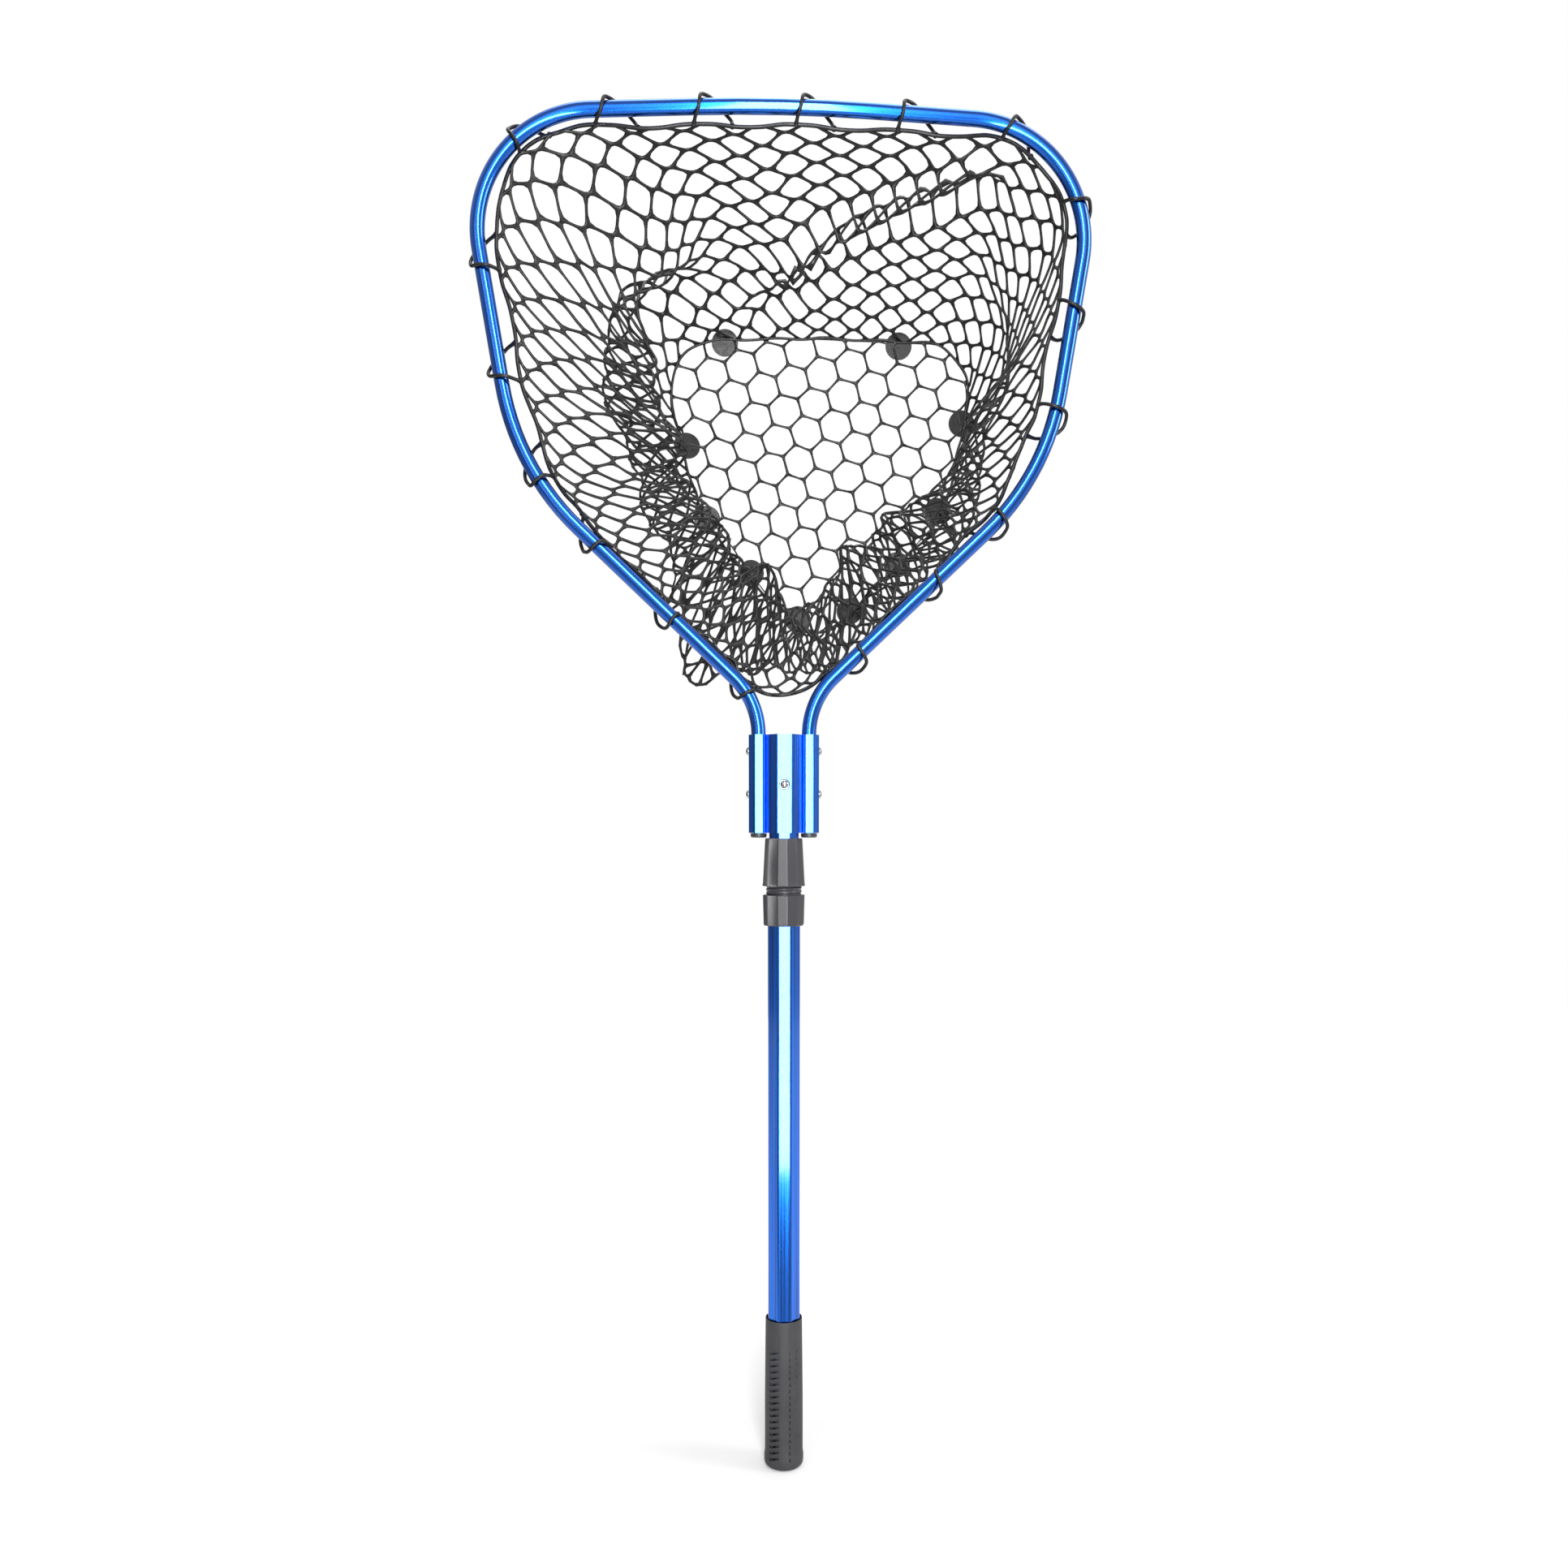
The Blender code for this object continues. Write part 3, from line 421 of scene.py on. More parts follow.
butt = [(GRIP_FLARE - BUTT_EDGE * (1 - sin(a)), BUTT_EDGE * (1 - cos(a)))
        for a in [radians(15 * i) for i in range(7)]]
lip = [(GRIP_MOUTH - 0.0004 * (1 - cos(a)), GRIP_TOP - 0.0004 * (1 - sin(a)))
       for a in [radians(30 * i) for i in range(4)]]
grip_profile = [(0.0, 0.0), *butt, (GRIP_FLARE, 0.0095), (GRIP_FLARE - 0.0002, 0.0115), (GRIP_WAIST, 0.013),
                (GRIP_WAIST, 0.060), *lip, (GRIP_BORE, GRIP_TOP - 0.0004), (GRIP_BORE, GRIP_FLOOR),
                (0.0, GRIP_FLOOR)]
grip_mesh = bpy.data.meshes.new("grip_blank")
grip_blank = turned(grip_profile)
grip_blank.to_mesh(grip_mesh)
grip_blank.free()
grip = grown_piece("grip_sleeve", grip_mesh, grip_tree, {
    "Rows": SLOT_ROWS, "Pitch": SLOT_PITCH, "Slot Size": SLOT_SIZE}, tpr, SHARP_PAST)
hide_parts("grip")
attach(grip, "handle")


# ---------------------------------------------------------------- collar and lock nut
# Both are moulded in black glass-filled nylon with twelve flats to hold them by, partly ribbed.
# The collar carries a coarse round thread, and the nut runs on it to squeeze the collet.
KNURL_SIDES = 192
KNURL_FLATS = 12
FLAT_TURN = radians(22.5)     # the direction of one flat
RIB_DEPTH = 0.00065
RIBBED = ((175.0, 250.0), (355.0, 430.0))     # bearings that are ribbed, in degrees
THREAD_PITCH = 0.0030
THREAD_DEPTH = 0.0008
THREAD_WALL = 0.0007
THREAD_STEPS = 8              # rings to a turn of the thread
POLE_FIT = 0.0002             # clearances: the collar on the pole, its bore round the inner pole, the nut
BORE_FIT = 0.0003
NUT_FIT = 0.0004
CAP_RISE = 0.0027             # the collar's cap, above the end of the pole
COLLAR_FOOT_WALL, COLLAR_TOP_WALL = 0.0020, 0.0026
NUT_FOOT_WALL = 0.0025
NUT_TAPER = 0.0046            # how much narrower its top is, across the flats
EDGE_BREAK = 0.0006           # what is taken off an end's edge, across the flats
NUT_SHOULDERS = (0.0234, 0.0245)     # heights in the nut at which its bore narrows
NYLON_GREY = "#2b2b2f"
NYLON_DARK = "#202024"


def flats_ring(flats, height, ribs=0.0):
    """Points round twelve flats about Z, with ribs sunk into part of them."""
    ring = []
    step = 2 * pi / KNURL_FLATS
    for i in range(KNURL_SIDES):
        angle = 2 * pi * i / KNURL_SIDES
        off_flat = (angle - FLAT_TURN + step / 2) % step - step / 2
        radius = flats / 2 / cos(off_flat)
        bearing = angle * 180 / pi
        if i % 2 and any(low < b < high for low, high in RIBBED for b in (bearing, bearing + 360)):
            radius -= ribs
        ring.append(Vector((radius * cos(angle), radius * sin(angle), height)))
    return ring


def round_ring(radius, height):
    """Points round a circle about Z, as many as round the flats."""
    angles = [2 * pi * i / KNURL_SIDES for i in range(KNURL_SIDES)]
    return [Vector((radius * cos(a), radius * sin(a), height)) for a in angles]


def ringed(rings):
    """A solid with a hole through it: each ring is joined to the next and the last to the first."""
    shape = bmesh.new()
    rows = [[shape.verts.new(point) for point in ring] for ring in rings]
    for low, high in zip(rows, rows[1:] + rows[:1]):
        for i in range(len(low)):
            shape.faces.new((low[i - 1], low[i], high[i], high[i - 1]))
    bmesh.ops.recalc_face_normals(shape, faces=shape.faces[:])
    return shape


# Glass-filled nylon: dark grey with a satin face, and a slight mottle from the glass at the skin,
# drawn at 0.6 mm so that it shows.
nylon = moulded_plastic("satin_glass_nylon", (NYLON_DARK, NYLON_GREY), (0.38, 0.62),
                        {"Scale": 1 / 0.0006, "Detail": 4.0, "Roughness": 0.65}, 0.38, (0.25, 0.0001))

collar_low, collar_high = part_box("threaded_collar")
nut_low, nut_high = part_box("lock_nut")
pole_low, pole_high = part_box("outer_pole")
pole_corner = (pole_high.x - pole_low.x) / 2 / cos(pi / 8)
inner_low, inner_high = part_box("inner_pole")
inner_corner = (inner_high.x - inner_low.x) / 2 / cos(pi / 8)
crest = inner_corner + BORE_FIT + THREAD_WALL + THREAD_DEPTH
cap_top = pole_high.z + CAP_RISE
collar_top_flats = 2 * (pole_corner + COLLAR_TOP_WALL)
collar_foot_flats = 2 * (pole_corner + COLLAR_FOOT_WALL)
collar_rings = [round_ring(pole_corner + POLE_FIT, collar_low.z),
                flats_ring(collar_foot_flats - 0.0016, collar_low.z),
                flats_ring(collar_foot_flats, collar_low.z + 0.0009, RIB_DEPTH),
                flats_ring(collar_top_flats, cap_top - 0.0003, RIB_DEPTH),
                flats_ring(collar_top_flats - EDGE_BREAK, cap_top),
                round_ring(crest - THREAD_DEPTH, cap_top)]
turns = int((collar_high.z - cap_top) / (THREAD_PITCH / THREAD_STEPS))
for k in range(1, turns + 1):
    height = cap_top + k * THREAD_PITCH / THREAD_STEPS
    fade = min(1.0, k / 4, (turns - k) / 4)
    ring = []
    for i in range(KNURL_SIDES):
        angle = 2 * pi * i / KNURL_SIDES
        wave = 0.5 + 0.5 * cos(2 * pi * (height - cap_top) / THREAD_PITCH - angle)
        radius = crest - THREAD_DEPTH * (1 - fade * wave ** 0.8)
        ring.append(Vector((radius * cos(angle), radius * sin(angle), height)))
    collar_rings.append(ring)
collar_rings += [round_ring(inner_corner + BORE_FIT, cap_top + turns * THREAD_PITCH / THREAD_STEPS),
                 round_ring(inner_corner + BORE_FIT, cap_top),
                 round_ring(pole_corner + POLE_FIT, cap_top - 0.0020)]
collar = shape_piece("threaded_end_collar", ringed(collar_rings), nylon)
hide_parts("threaded_collar")
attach(collar, "handle")

nut_length = nut_high.z - nut_low.z
nut_foot_flats = 2 * (crest + NUT_FOOT_WALL)
nut_top_flats = nut_foot_flats - NUT_TAPER
nut_rings = [round_ring(crest + NUT_FIT, nut_low.z), flats_ring(nut_foot_flats - 0.0008, nut_low.z),
             flats_ring(nut_foot_flats, nut_low.z + 0.0006, RIB_DEPTH)]
for share in (0.06, 0.12, 0.5, 0.97):
    flats = nut_foot_flats - EDGE_BREAK - (nut_foot_flats - EDGE_BREAK - nut_top_flats) * share
    nut_rings.append(flats_ring(flats, nut_low.z + nut_length * share, RIB_DEPTH))
nut_rings += [flats_ring(nut_top_flats - EDGE_BREAK, nut_high.z),
              round_ring(inner_corner + NUT_FIT, nut_high.z),
              round_ring(inner_corner + NUT_FIT, nut_high.z - 0.002),
              round_ring(inner_corner + 2 * NUT_FIT, nut_low.z + NUT_SHOULDERS[1]),
              round_ring(crest + NUT_FIT, nut_low.z + NUT_SHOULDERS[0])]
nut = shape_piece("lock_nut_body", ringed(nut_rings), nylon)
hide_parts("lock_nut")
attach(nut, "lock_nut")


# ---------------------------------------------------------------- inner pole, guide and collet
# The inner pole is the same extrusion one size down, and slides on a nylon guide through a split
# acetal collet. Acetal is the paler, slightly waxy plastic of the two.
INNER_CORNER = 0.0009
ACETAL_DARK = "#d9d7cf"
ACETAL_PALE = "#eeece6"

inner_pole = eased_copy("inner_pole_tube", "inner_pole", blue_anodised, INNER_CORNER)
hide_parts("inner_pole")
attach(inner_pole, "head")

# Acetal: translucent off-white, smooth from the mould, with a faint cloudiness over 4 mm.
acetal = moulded_plastic("natural_acetal", (ACETAL_DARK, ACETAL_PALE), (0.0, 1.0), {"Scale": 1 / 0.004}, 0.35,
                         sockets={"IOR": 1.48})
for node, finish in (("guide_bush", nylon), ("collet", acetal)):
    for place in frame["nodes"][node].material_slots:
        place.material = finish


# ---------------------------------------------------------------- yoke
# One blue extrusion joins the head to the pole: three octagons run together, the middle one for the
# pole and the outer two for the ends of the hoop. Its mouth is sawn and deburred.
yoke = eased_copy("hoop_yoke", "yoke", blue_anodised, 0.0004, 2)
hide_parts("yoke")
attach(yoke, "head")


# ---------------------------------------------------------------- hoop
# A 12 mm round tube, rolled and bent into the mouth's outline and riveted in the yoke. It is dyed with
# the poles; the mill's lines follow its bends.
HOOP_RADIUS = 0.006
HOOP_ARM_X = 0.0207
HOOP_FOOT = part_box("yoke")[0].z
HOOP_CORNERS = ((0.2594, 0.5683), (0.2146, 0.2918), (HOOP_ARM_X, 0.1078), (HOOP_ARM_X, 0.0008))
HOOP_CROWN = 0.5806
HOOP_BENDS = (0.0, 0.064, 0.200, 0.095, 1.5, 0.095, 0.200, 0.064, 0.0)
BEND_STEP = radians(3)
MILL_LINE = 0.006             # lines are wider and shallower on a drawn tube
MILL_DEPTH = 0.00001


def bent_path(corners, bends):
    """Corner points in the XZ plane with each corner rounded to its bend."""
    path = [corners[0]]
    for i in range(1, len(corners) - 1):
        back = (corners[i - 1] - corners[i]).normalized()
        ahead = (corners[i + 1] - corners[i]).normalized()
        half = back.angle(ahead) / 2
        centre = corners[i] + (back + ahead).normalized() * bends[i] / sin(half)
        spoke = corners[i] + back * bends[i] / tan(half) - centre
        sweep_angle = pi - 2 * half
        side = 1 if back.cross(ahead).y < 0 else -1
        steps = max(4, ceil(sweep_angle / BEND_STEP))
        for k in range(steps + 1):
            a = side * sweep_angle * k / steps
            path.append(centre + Vector((spoke.x * cos(a) + spoke.z * sin(a), 0.0,
                                         spoke.z * cos(a) - spoke.x * sin(a))))
    path.append(corners[-1])
    return path


def line_mesh(name, lines, weights=None, closed=False):
    """A mesh of polylines, each point with its own share of the cord's thickness."""
    points, edges, shares = [], [], []
    for n, line in enumerate(lines):
        first = len(points)
        points += [tuple(p) for p in line]
        shares += list(weights[n]) if weights else [1.0] * len(line)
        edges += [(first + i, first + i + 1) for i in range(len(line) - 1)]
        if closed:
            edges.append((len(points) - 1, first))
    mesh = bpy.data.meshes.new(name)
    mesh.from_pydata(points, edges, [])
    mesh.attributes.new("share", "FLOAT", "POINT").data.foreach_set("value", shares)
    return mesh


tube_tree, given = new_tree("tube_along_lines", {"Radius": "NodeSocketFloat", "Sides": "NodeSocketInt"})
tube_line = add_node(tube_tree, "GeometryNodeMeshToCurve", {"Mesh": given["Geometry"]})
tube_share = add_node(tube_tree, "GeometryNodeInputNamedAttribute", {"Name": "share"}, data_type="FLOAT")
tube_circle = add_node(tube_tree, "GeometryNodeCurvePrimitiveCircle", {
    "Resolution": given["Sides"], "Radius": given["Radius"]})
circle_marked = add_node(tube_tree, "GeometryNodeStoreNamedAttribute", {
    "Geometry": tube_circle, "Name": "section", "Value": add_node(tube_tree, "GeometryNodeInputPosition")},
    data_type="FLOAT_VECTOR", domain="POINT")
tube_skin = add_node(tube_tree, "GeometryNodeCurveToMesh", {
    "Curve": tube_line, "Profile Curve": circle_marked, "Fill Caps": True, "Scale": tube_share})
close_tree(tube_tree, given, add_node(tube_tree, "GeometryNodeSetShadeSmooth", {"Geometry": tube_skin}))

hoop_corners = [Vector((x, 0.0, z + HOOP_FOOT)) for x, z in HOOP_CORNERS]
hoop_corners = ([Vector((-p.x, 0.0, p.z)) for p in reversed(hoop_corners)]
                + [Vector((0.0, 0.0, HOOP_CROWN + HOOP_FOOT))] + hoop_corners)
hoop_path = bent_path(hoop_corners, HOOP_BENDS)
tube_anodised = anodised_aluminium("blue_anodised_tube", MILL_LINE, DIE_RUN, MILL_DEPTH, "section")
hoop = grown_piece("hoop_tube", line_mesh("hoop_line", [hoop_path]), tube_tree,
                   {"Radius": HOOP_RADIUS, "Sides": 48}, tube_anodised)
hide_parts("hoop")
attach(hoop, "head")


# ---------------------------------------------------------------- hoop plugs
# Two black nylon plugs close the ends of the hoop's tube under the yoke, each with a rounded head.
PLUG_EDGE = 0.0013            # radius round the head
PLUG_WALL = 0.0025            # how much narrower the stem is
PLUG_GAP = 0.0003             # between the head and the yoke


def moved(shape, place, turn=None):
    """Turns a bmesh about the origin and then moves it."""
    if turn:
        bmesh.ops.rotate(shape, verts=shape.verts[:], cent=(0, 0, 0), matrix=turn)
    bmesh.ops.translate(shape, verts=shape.verts[:], vec=place)
    return shape


for side in ("left", "right"):
    low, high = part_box("hoop_plug_" + side)
    head = (high.x - low.x) / 2
    under = HOOP_FOOT - PLUG_GAP
    rounded = [(head - PLUG_EDGE * (1 - sin(a)), low.z + PLUG_EDGE * (1 - cos(a)))
               for a in [radians(15 * i) for i in range(7)]]
    plug_profile = [(0.0, low.z), *rounded, (head, under), (head - PLUG_WALL, under),
                    (head - PLUG_WALL, high.z), (0.0, high.z)]
    plug_shape = moved(turned(plug_profile, 64), ((low.x + high.x) / 2, 0.0, 0.0))
    plug = shape_piece("tube_end_plug_" + side, plug_shape, nylon)
    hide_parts("hoop_plug_" + side)
    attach(plug, "head")


# ---------------------------------------------------------------- rivets and snap button
# Four domed rivets hold the hoop in the yoke, and a domed button stands in the yoke's front on its
# leaf spring. All are nickel-plated steel, tumbled bright.
RIVET_HEAD = 0.0034           # radii and heights of the domes
RIVET_SHANK = 0.0016
RIVET_DOME = 0.0022
BUTTON_RADIUS = 0.00335
BUTTON_DOME = 0.0024
BUTTON_FLANGE = 0.001
# Sizes of the black ring that is painted shade in the button's hole.
SHADE_RING_INNER, SHADE_RING_OUTER = 0.0036, 0.0044
SHADE_RING_TOP, SHADE_RING_LIP, SHADE_RING_FOOT = 0.0001, 0.0014, 0.0020    # under the yoke's front
LEAF_FRONT = -0.002           # in front of this is the spring's leaf
PRESS_ROOM = 0.0037           # the button's travel and a little more

# Nickel plate: a warm near-white metal, almost a mirror, with a faint haze from tumbling, drawn at
# 0.8 mm so that it shows.
nickel, nickel_tree, nickel_shader = new_finish("bright_nickel_plate")
nickel_haze = add_node(nickel_tree, "ShaderNodeTexNoise", {
    "Vector": add_node(nickel_tree, "ShaderNodeTexCoord").outputs["Object"], "Scale": 1 / 0.0008})
nickel_gloss = add_node(nickel_tree, "ShaderNodeMapRange", {
    "Value": nickel_haze, "To Min": 0.10, "To Max": 0.18})
feed(nickel_shader, {"Base Color": tint("#a4a4a6"), "Metallic": 1.0, "Roughness": nickel_gloss})


def dome(radius, under, height):
    """The profile of a dome, short of its tip."""
    return [(radius * cos(a), under + height * sin(a)) for a in [radians(11.25 * i) for i in range(8)]]


for side, sign in (("left", -1), ("right", 1)):
    for place in ("lower", "upper"):
        node = "rivet_" + side + "_" + place
        low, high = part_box(node)
        foot, tip = (low.x, high.x) if sign > 0 else (-high.x, -low.x)
        under = tip - RIVET_DOME
        rivet_shape = turned([(0.0, foot), (RIVET_SHANK, foot), (RIVET_SHANK, under),
                              *dome(RIVET_HEAD, under, RIVET_DOME), (0.0, tip)], 40)
        moved(rivet_shape, (0.0, 0.0, (low.z + high.z) / 2), Matrix.Rotation(sign * pi / 2, 3, "Y"))
        rivet = shape_piece("domed_" + node, rivet_shape, nickel)
        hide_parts(node)
        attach(rivet, "head")

low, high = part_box("snap_button")
facing_front = Matrix.Rotation(pi / 2, 3, "X")
button_place = (0.0, 0.0, (low.z + high.z) / 2)
flange = (high.x - low.x) / 2
button_shape = turned([(0.0, -high.y), (flange, -high.y), (flange, -high.y + BUTTON_FLANGE),
                       (BUTTON_RADIUS, -high.y + BUTTON_FLANGE),
                       *dome(BUTTON_RADIUS, -low.y - BUTTON_DOME, BUTTON_DOME), (0.0, -low.y)], 48)
button = shape_piece("domed_button", moved(button_shape, button_place, facing_front), nickel)
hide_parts("snap_button")
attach(button, "snap_button")

# A black nylon ring sits in the button's hole as painted shade: it stands in for the shadow in the gap round
# the button, and stays dark round the bright dome.
yoke_front = -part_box("yoke")[0].y
shade_ring_foot = (SHADE_RING_OUTER, yoke_front - SHADE_RING_FOOT)
shade_ring_shape = turned([shade_ring_foot, (SHADE_RING_OUTER, yoke_front - SHADE_RING_TOP), (SHADE_RING_INNER, yoke_front - SHADE_RING_LIP),
                     (SHADE_RING_INNER, yoke_front - SHADE_RING_FOOT), shade_ring_foot], 64)
bmesh.ops.remove_doubles(shade_ring_shape, verts=shade_ring_shape.verts[:], dist=1e-7)
bmesh.ops.recalc_face_normals(shade_ring_shape, faces=shade_ring_shape.faces[:])
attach(shape_piece("button_gap_painted_shade_ring", moved(shade_ring_shape, button_place, facing_front), nylon), "head")

# The spring's leaf is drawn in, as it lies when the button is down, so the button never meets it.
leaf = bmesh.new()
leaf.from_mesh(frame["nodes"]["button_spring"].data)
bmesh.ops.remove_doubles(leaf, verts=leaf.verts[:], dist=1e-6)
for vert in leaf.verts:
    if vert.co.y < LEAF_FRONT:
        vert.co.y += PRESS_ROOM
spring = shape_piece("bent_leaf_spring", leaf, nickel)
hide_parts("button_spring")
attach(spring, "head")


# ---------------------------------------------------------------- net rim and loops
# The net is one moulding of soft black TPE. Its rim is a round cord, and 18 strands leave the rim,
# wind once round the hoop from front to back and run into the rim again, 30 mm further along.
RIM_RADIUS = 0.0016
RIM_BEARINGS = (0, 40, 62, 88, 118, 136, 152, 180, 208, 224, 242, 272, 298, 320, 360)
RIM_PULLS = (0.012, 0.0115, 0.0080, 0.0005, 0.003, 0.0075, 0.0035,
             0.0035, 0.0035, 0.0075, 0.003, 0.0005, 0.0080, 0.0115, 0.012)
ROOT_PULL = 0.0030            # how far each loop's root draws the rim out
LOOP_RADIUS = 0.00145
LOOP_SPAN = 0.030
LOOP_STATIONS = (0.114, 0.199, 0.282, 0.352, 0.437, 0.524, 0.632, 0.708, 0.785, 0.866, 0.948, 1.035,
                 1.119, 1.204, 1.287, 1.385, 1.457, 1.544)
RIM_BACK = 0.25               # how far the rim goes back for each metre that it is pulled out
ROOT_REACH = 0.012            # how far round the rim a root's pull is felt
TPE_BLACK = "#0a0a0b"
TPE_SKIN = "#121214"

# TPE, injection moulded in a polished tool: near black with a soft satin shine, and a slightly drier
# skin in patches of about 5 mm where it has been handled.
tpe = moulded_plastic("satin_black_tpe", (TPE_BLACK, TPE_SKIN), (0.35, 0.70),
                      {"Scale": 1 / 0.005, "Detail": 3.0}, (0.30, 0.44), (0.15, 0.0002),
                      sockets={"IOR": 1.46, "Specular IOR Level": 0.35})


def cord_centre(node, count):
    """The centreline of a frame node that rings its own middle, met by rays from that middle."""
    mesh = frame["nodes"][node].data
    mesh.calc_loop_triangles()
    skin = BVHTree.FromPolygons([v.co for v in mesh.vertices], [t.vertices for t in mesh.loop_triangles])
    low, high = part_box(node)
    middle = Vector((0.0, 0.0, (low.z + high.z) / 2))
    line = []
    for i in range(count):
        angle = 2 * pi * i / count - pi / 2
        ray = Vector((cos(angle), 0.0, sin(angle)))
        inner = skin.ray_cast(middle, ray)[0]
        outer = skin.ray_cast(middle + ray, -ray)[0]
        line.append((inner + outer) / 2)
    return np.array(line), middle


def even_line(line, count):
    """Points at equal steps round a closed line."""
    closed = np.vstack([line, line[:1]])
    runs = np.r_[0.0, np.cumsum(np.linalg.norm(np.diff(closed, axis=0), axis=1))]
    steps = np.linspace(0.0, runs[-1], count, endpoint=False)
    return np.stack([np.interp(steps, runs, closed[:, k]) for k in range(3)], axis=1)


def eased(at, stops, values):
    """Smooth steps between values at stops."""
    at = np.asarray(at, float)
    k = np.clip(np.searchsorted(stops, at, side="right") - 1, 0, len(stops) - 2)
    low, high = np.array(stops)[k], np.array(stops)[k + 1]
    t = np.clip((at - low) / (high - low), 0.0, 1.0)
    t = t * t * (3 - 2 * t)
    return np.array(values)[k] * (1 - t) + np.array(values)[k + 1] * t


def smooth_line(points, steps):
    """A smooth curve through points."""
    padded = [points[0] * 2 - points[1], *points, points[-1] * 2 - points[-2]]
    line = []
    for a, b, c, d in zip(padded, padded[1:], padded[2:], padded[3:]):
        for k in range(steps):
            t = k / steps
            line.append(0.5 * (2 * b + (c - a) * t + (2 * a - 5 * b + 4 * c - d) * t ** 2
                               + (3 * b - a - 3 * c + d) * t ** 3))
    line.append(points[-1])
    return line


rim_moulded, mouth_middle = cord_centre("net_rim", 720)
rim_ahead = np.roll(rim_moulded, -4, axis=0) - np.roll(rim_moulded, 4, axis=0)
rim_ahead /= np.linalg.norm(rim_ahead, axis=1, keepdims=True)
rim_out = np.stack([rim_ahead[:, 2], np.zeros(len(rim_ahead)), -rim_ahead[:, 0]], axis=1)
rim_bearings = np.degrees(np.arctan2(rim_moulded[:, 0], mouth_middle.z - rim_moulded[:, 2])) % 360
rim_pull = eased(rim_bearings, RIM_BEARINGS, RIM_PULLS)[:, None]
hoop_runs = np.r_[0.0, np.cumsum([(b - a).length for a, b in zip(hoop_path, hoop_path[1:])])]


def hoop_place(station):
    """The hoop's centre at a distance along it, its direction there and the way out of the mouth."""
    i = min(int(np.searchsorted(hoop_runs, station)), len(hoop_path) - 1)
    ahead = (hoop_path[i] - hoop_path[i - 1]).normalized()
    return hoop_path[i - 1] + ahead * (station - hoop_runs[i - 1]), ahead, Vector((-ahead.z, 0.0, ahead.x))


rim_roots = np.array([hoop_place(station)[0] for station in LOOP_STATIONS])
root_gaps = np.linalg.norm(rim_moulded[:, None] - rim_roots[None], axis=2).min(axis=1)
rim_pull = rim_pull + ROOT_PULL * np.exp(-((root_gaps - root_gaps.min()) / ROOT_REACH) ** 2)[:, None]
rim_raw = rim_moulded + rim_out * rim_pull + np.array([0.0, RIM_BACK, 0.0]) * rim_pull
rim_line = even_line(rim_raw, 432)


def rim_near(point):
    """The rim's place nearest to a point."""
    gaps = np.linalg.norm(rim_line - np.array(point), axis=1)
    return Vector(rim_line[int(np.argmin(gaps))])


loop_dice = np.random.default_rng(11)
loop_lines, loop_shares = [], []
for station in LOOP_STATIONS:
    clear = HOOP_RADIUS + LOOP_RADIUS
    slack = 0.0003 + 0.0014 * loop_dice.random()
    lean = 0.004 * (loop_dice.random() - 0.4)

    def beside(run, out, y):
        centre, ahead, outward = hoop_place(station + run)
        droop = max(0.0, -outward.z) * max(0.0, out) * 0.55
        return centre + outward * out + Vector((0.0, y, -droop))

    front_root = rim_near(beside(-0.002 - lean, 0.0, 0.0))
    back_root = rim_near(beside(LOOP_SPAN, 0.0, 0.0))
    stops = [front_root,
             front_root.lerp(beside(-0.001, -0.006, -clear * 0.8), 0.45) + Vector((0, -0.0015, 0)),
             beside(0.0, -0.005, -clear - 0.0002), beside(0.001 + lean / 2, 0.001, -clear - 0.0006),
             beside(0.002 + lean, 0.0066, -clear * 0.72), beside(0.005 + lean, clear + slack, -0.0012),
             beside(0.010, clear + slack, 0.0030), beside(0.016, 0.0050, clear * 0.85),
             beside(0.021, -0.001, clear + 0.0004), beside(0.026, -0.0085, clear * 0.7), back_root]
    line = smooth_line([Vector(p) for p in stops], 6)
    loop_lines.append(line)
    reach = len(line) - 1
    loop_shares.append([1.0 + 0.75 * max(0.0, 1 - min(i, reach - i) / 5) ** 2 for i in range(reach + 1)])

rim = grown_piece("net_rim_cord", line_mesh("rim_line", [rim_line], closed=True), tube_tree,
                  {"Radius": RIM_RADIUS, "Sides": 12}, tpe)
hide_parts("net_rim")
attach(rim, "head")
loops = grown_piece("net_loops", line_mesh("loop_lines", loop_lines, loop_shares), tube_tree,
                    {"Radius": LOOP_RADIUS, "Sides": 12}, tpe)
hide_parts(*["net_loop_%02d" % (k + 1) for k in range(len(LOOP_STATIONS))])
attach(loops, "head")


# ---------------------------------------------------------------- net bag
# The bag is a web of TPE strands: a wall of long six-sided cells hung from the rim, and a floor panel
# of regular ones. It is cut deeper than it hangs, so it falls in folds; a cloth of that cut is hung
# here, and the web is laid over it.
BAG_COLUMNS = 48              # cells round the rim
CROWN_SPREAD = 0.22           # how much wider than the mean they are at the crown
BAG_ROWS = 20                 # half cells down the wall
COLUMN_STEPS = 3              # cloth points to a cell
MOUTH_POINTS = 1440           # points on the outline that the columns are spread over
FLOOR_RINGS = 8
CUT_TOP = 0.222               # depth of the wall as moulded, at the crown
CUT_FOOT = 0.300              # and towards the pole
CUT_TAPER = 4.0               # the wall keeps its width until it is near the floor
BAG_HANG = 0.185              # depth as it starts to hang
FLOOR_SHARE = 0.62            # the floor's size over the mouth's
FLOOR_SHIFT = (0.042, -0.012)
FOLD_BEARINGS = (0, 35, 70, 95, 120, 145, 180, 198, 218, 240, 275, 320, 360)
FOLD_SHARES = (0.90, 1.12, 0.95, 0.60, 0.25, 0.05, 0.0, 0.08, 0.60, 1.0, 1.0, 1.0, 0.90)
FOLD_ROWS = (0.0, 0.50, 0.73, 0.93, 1.0)
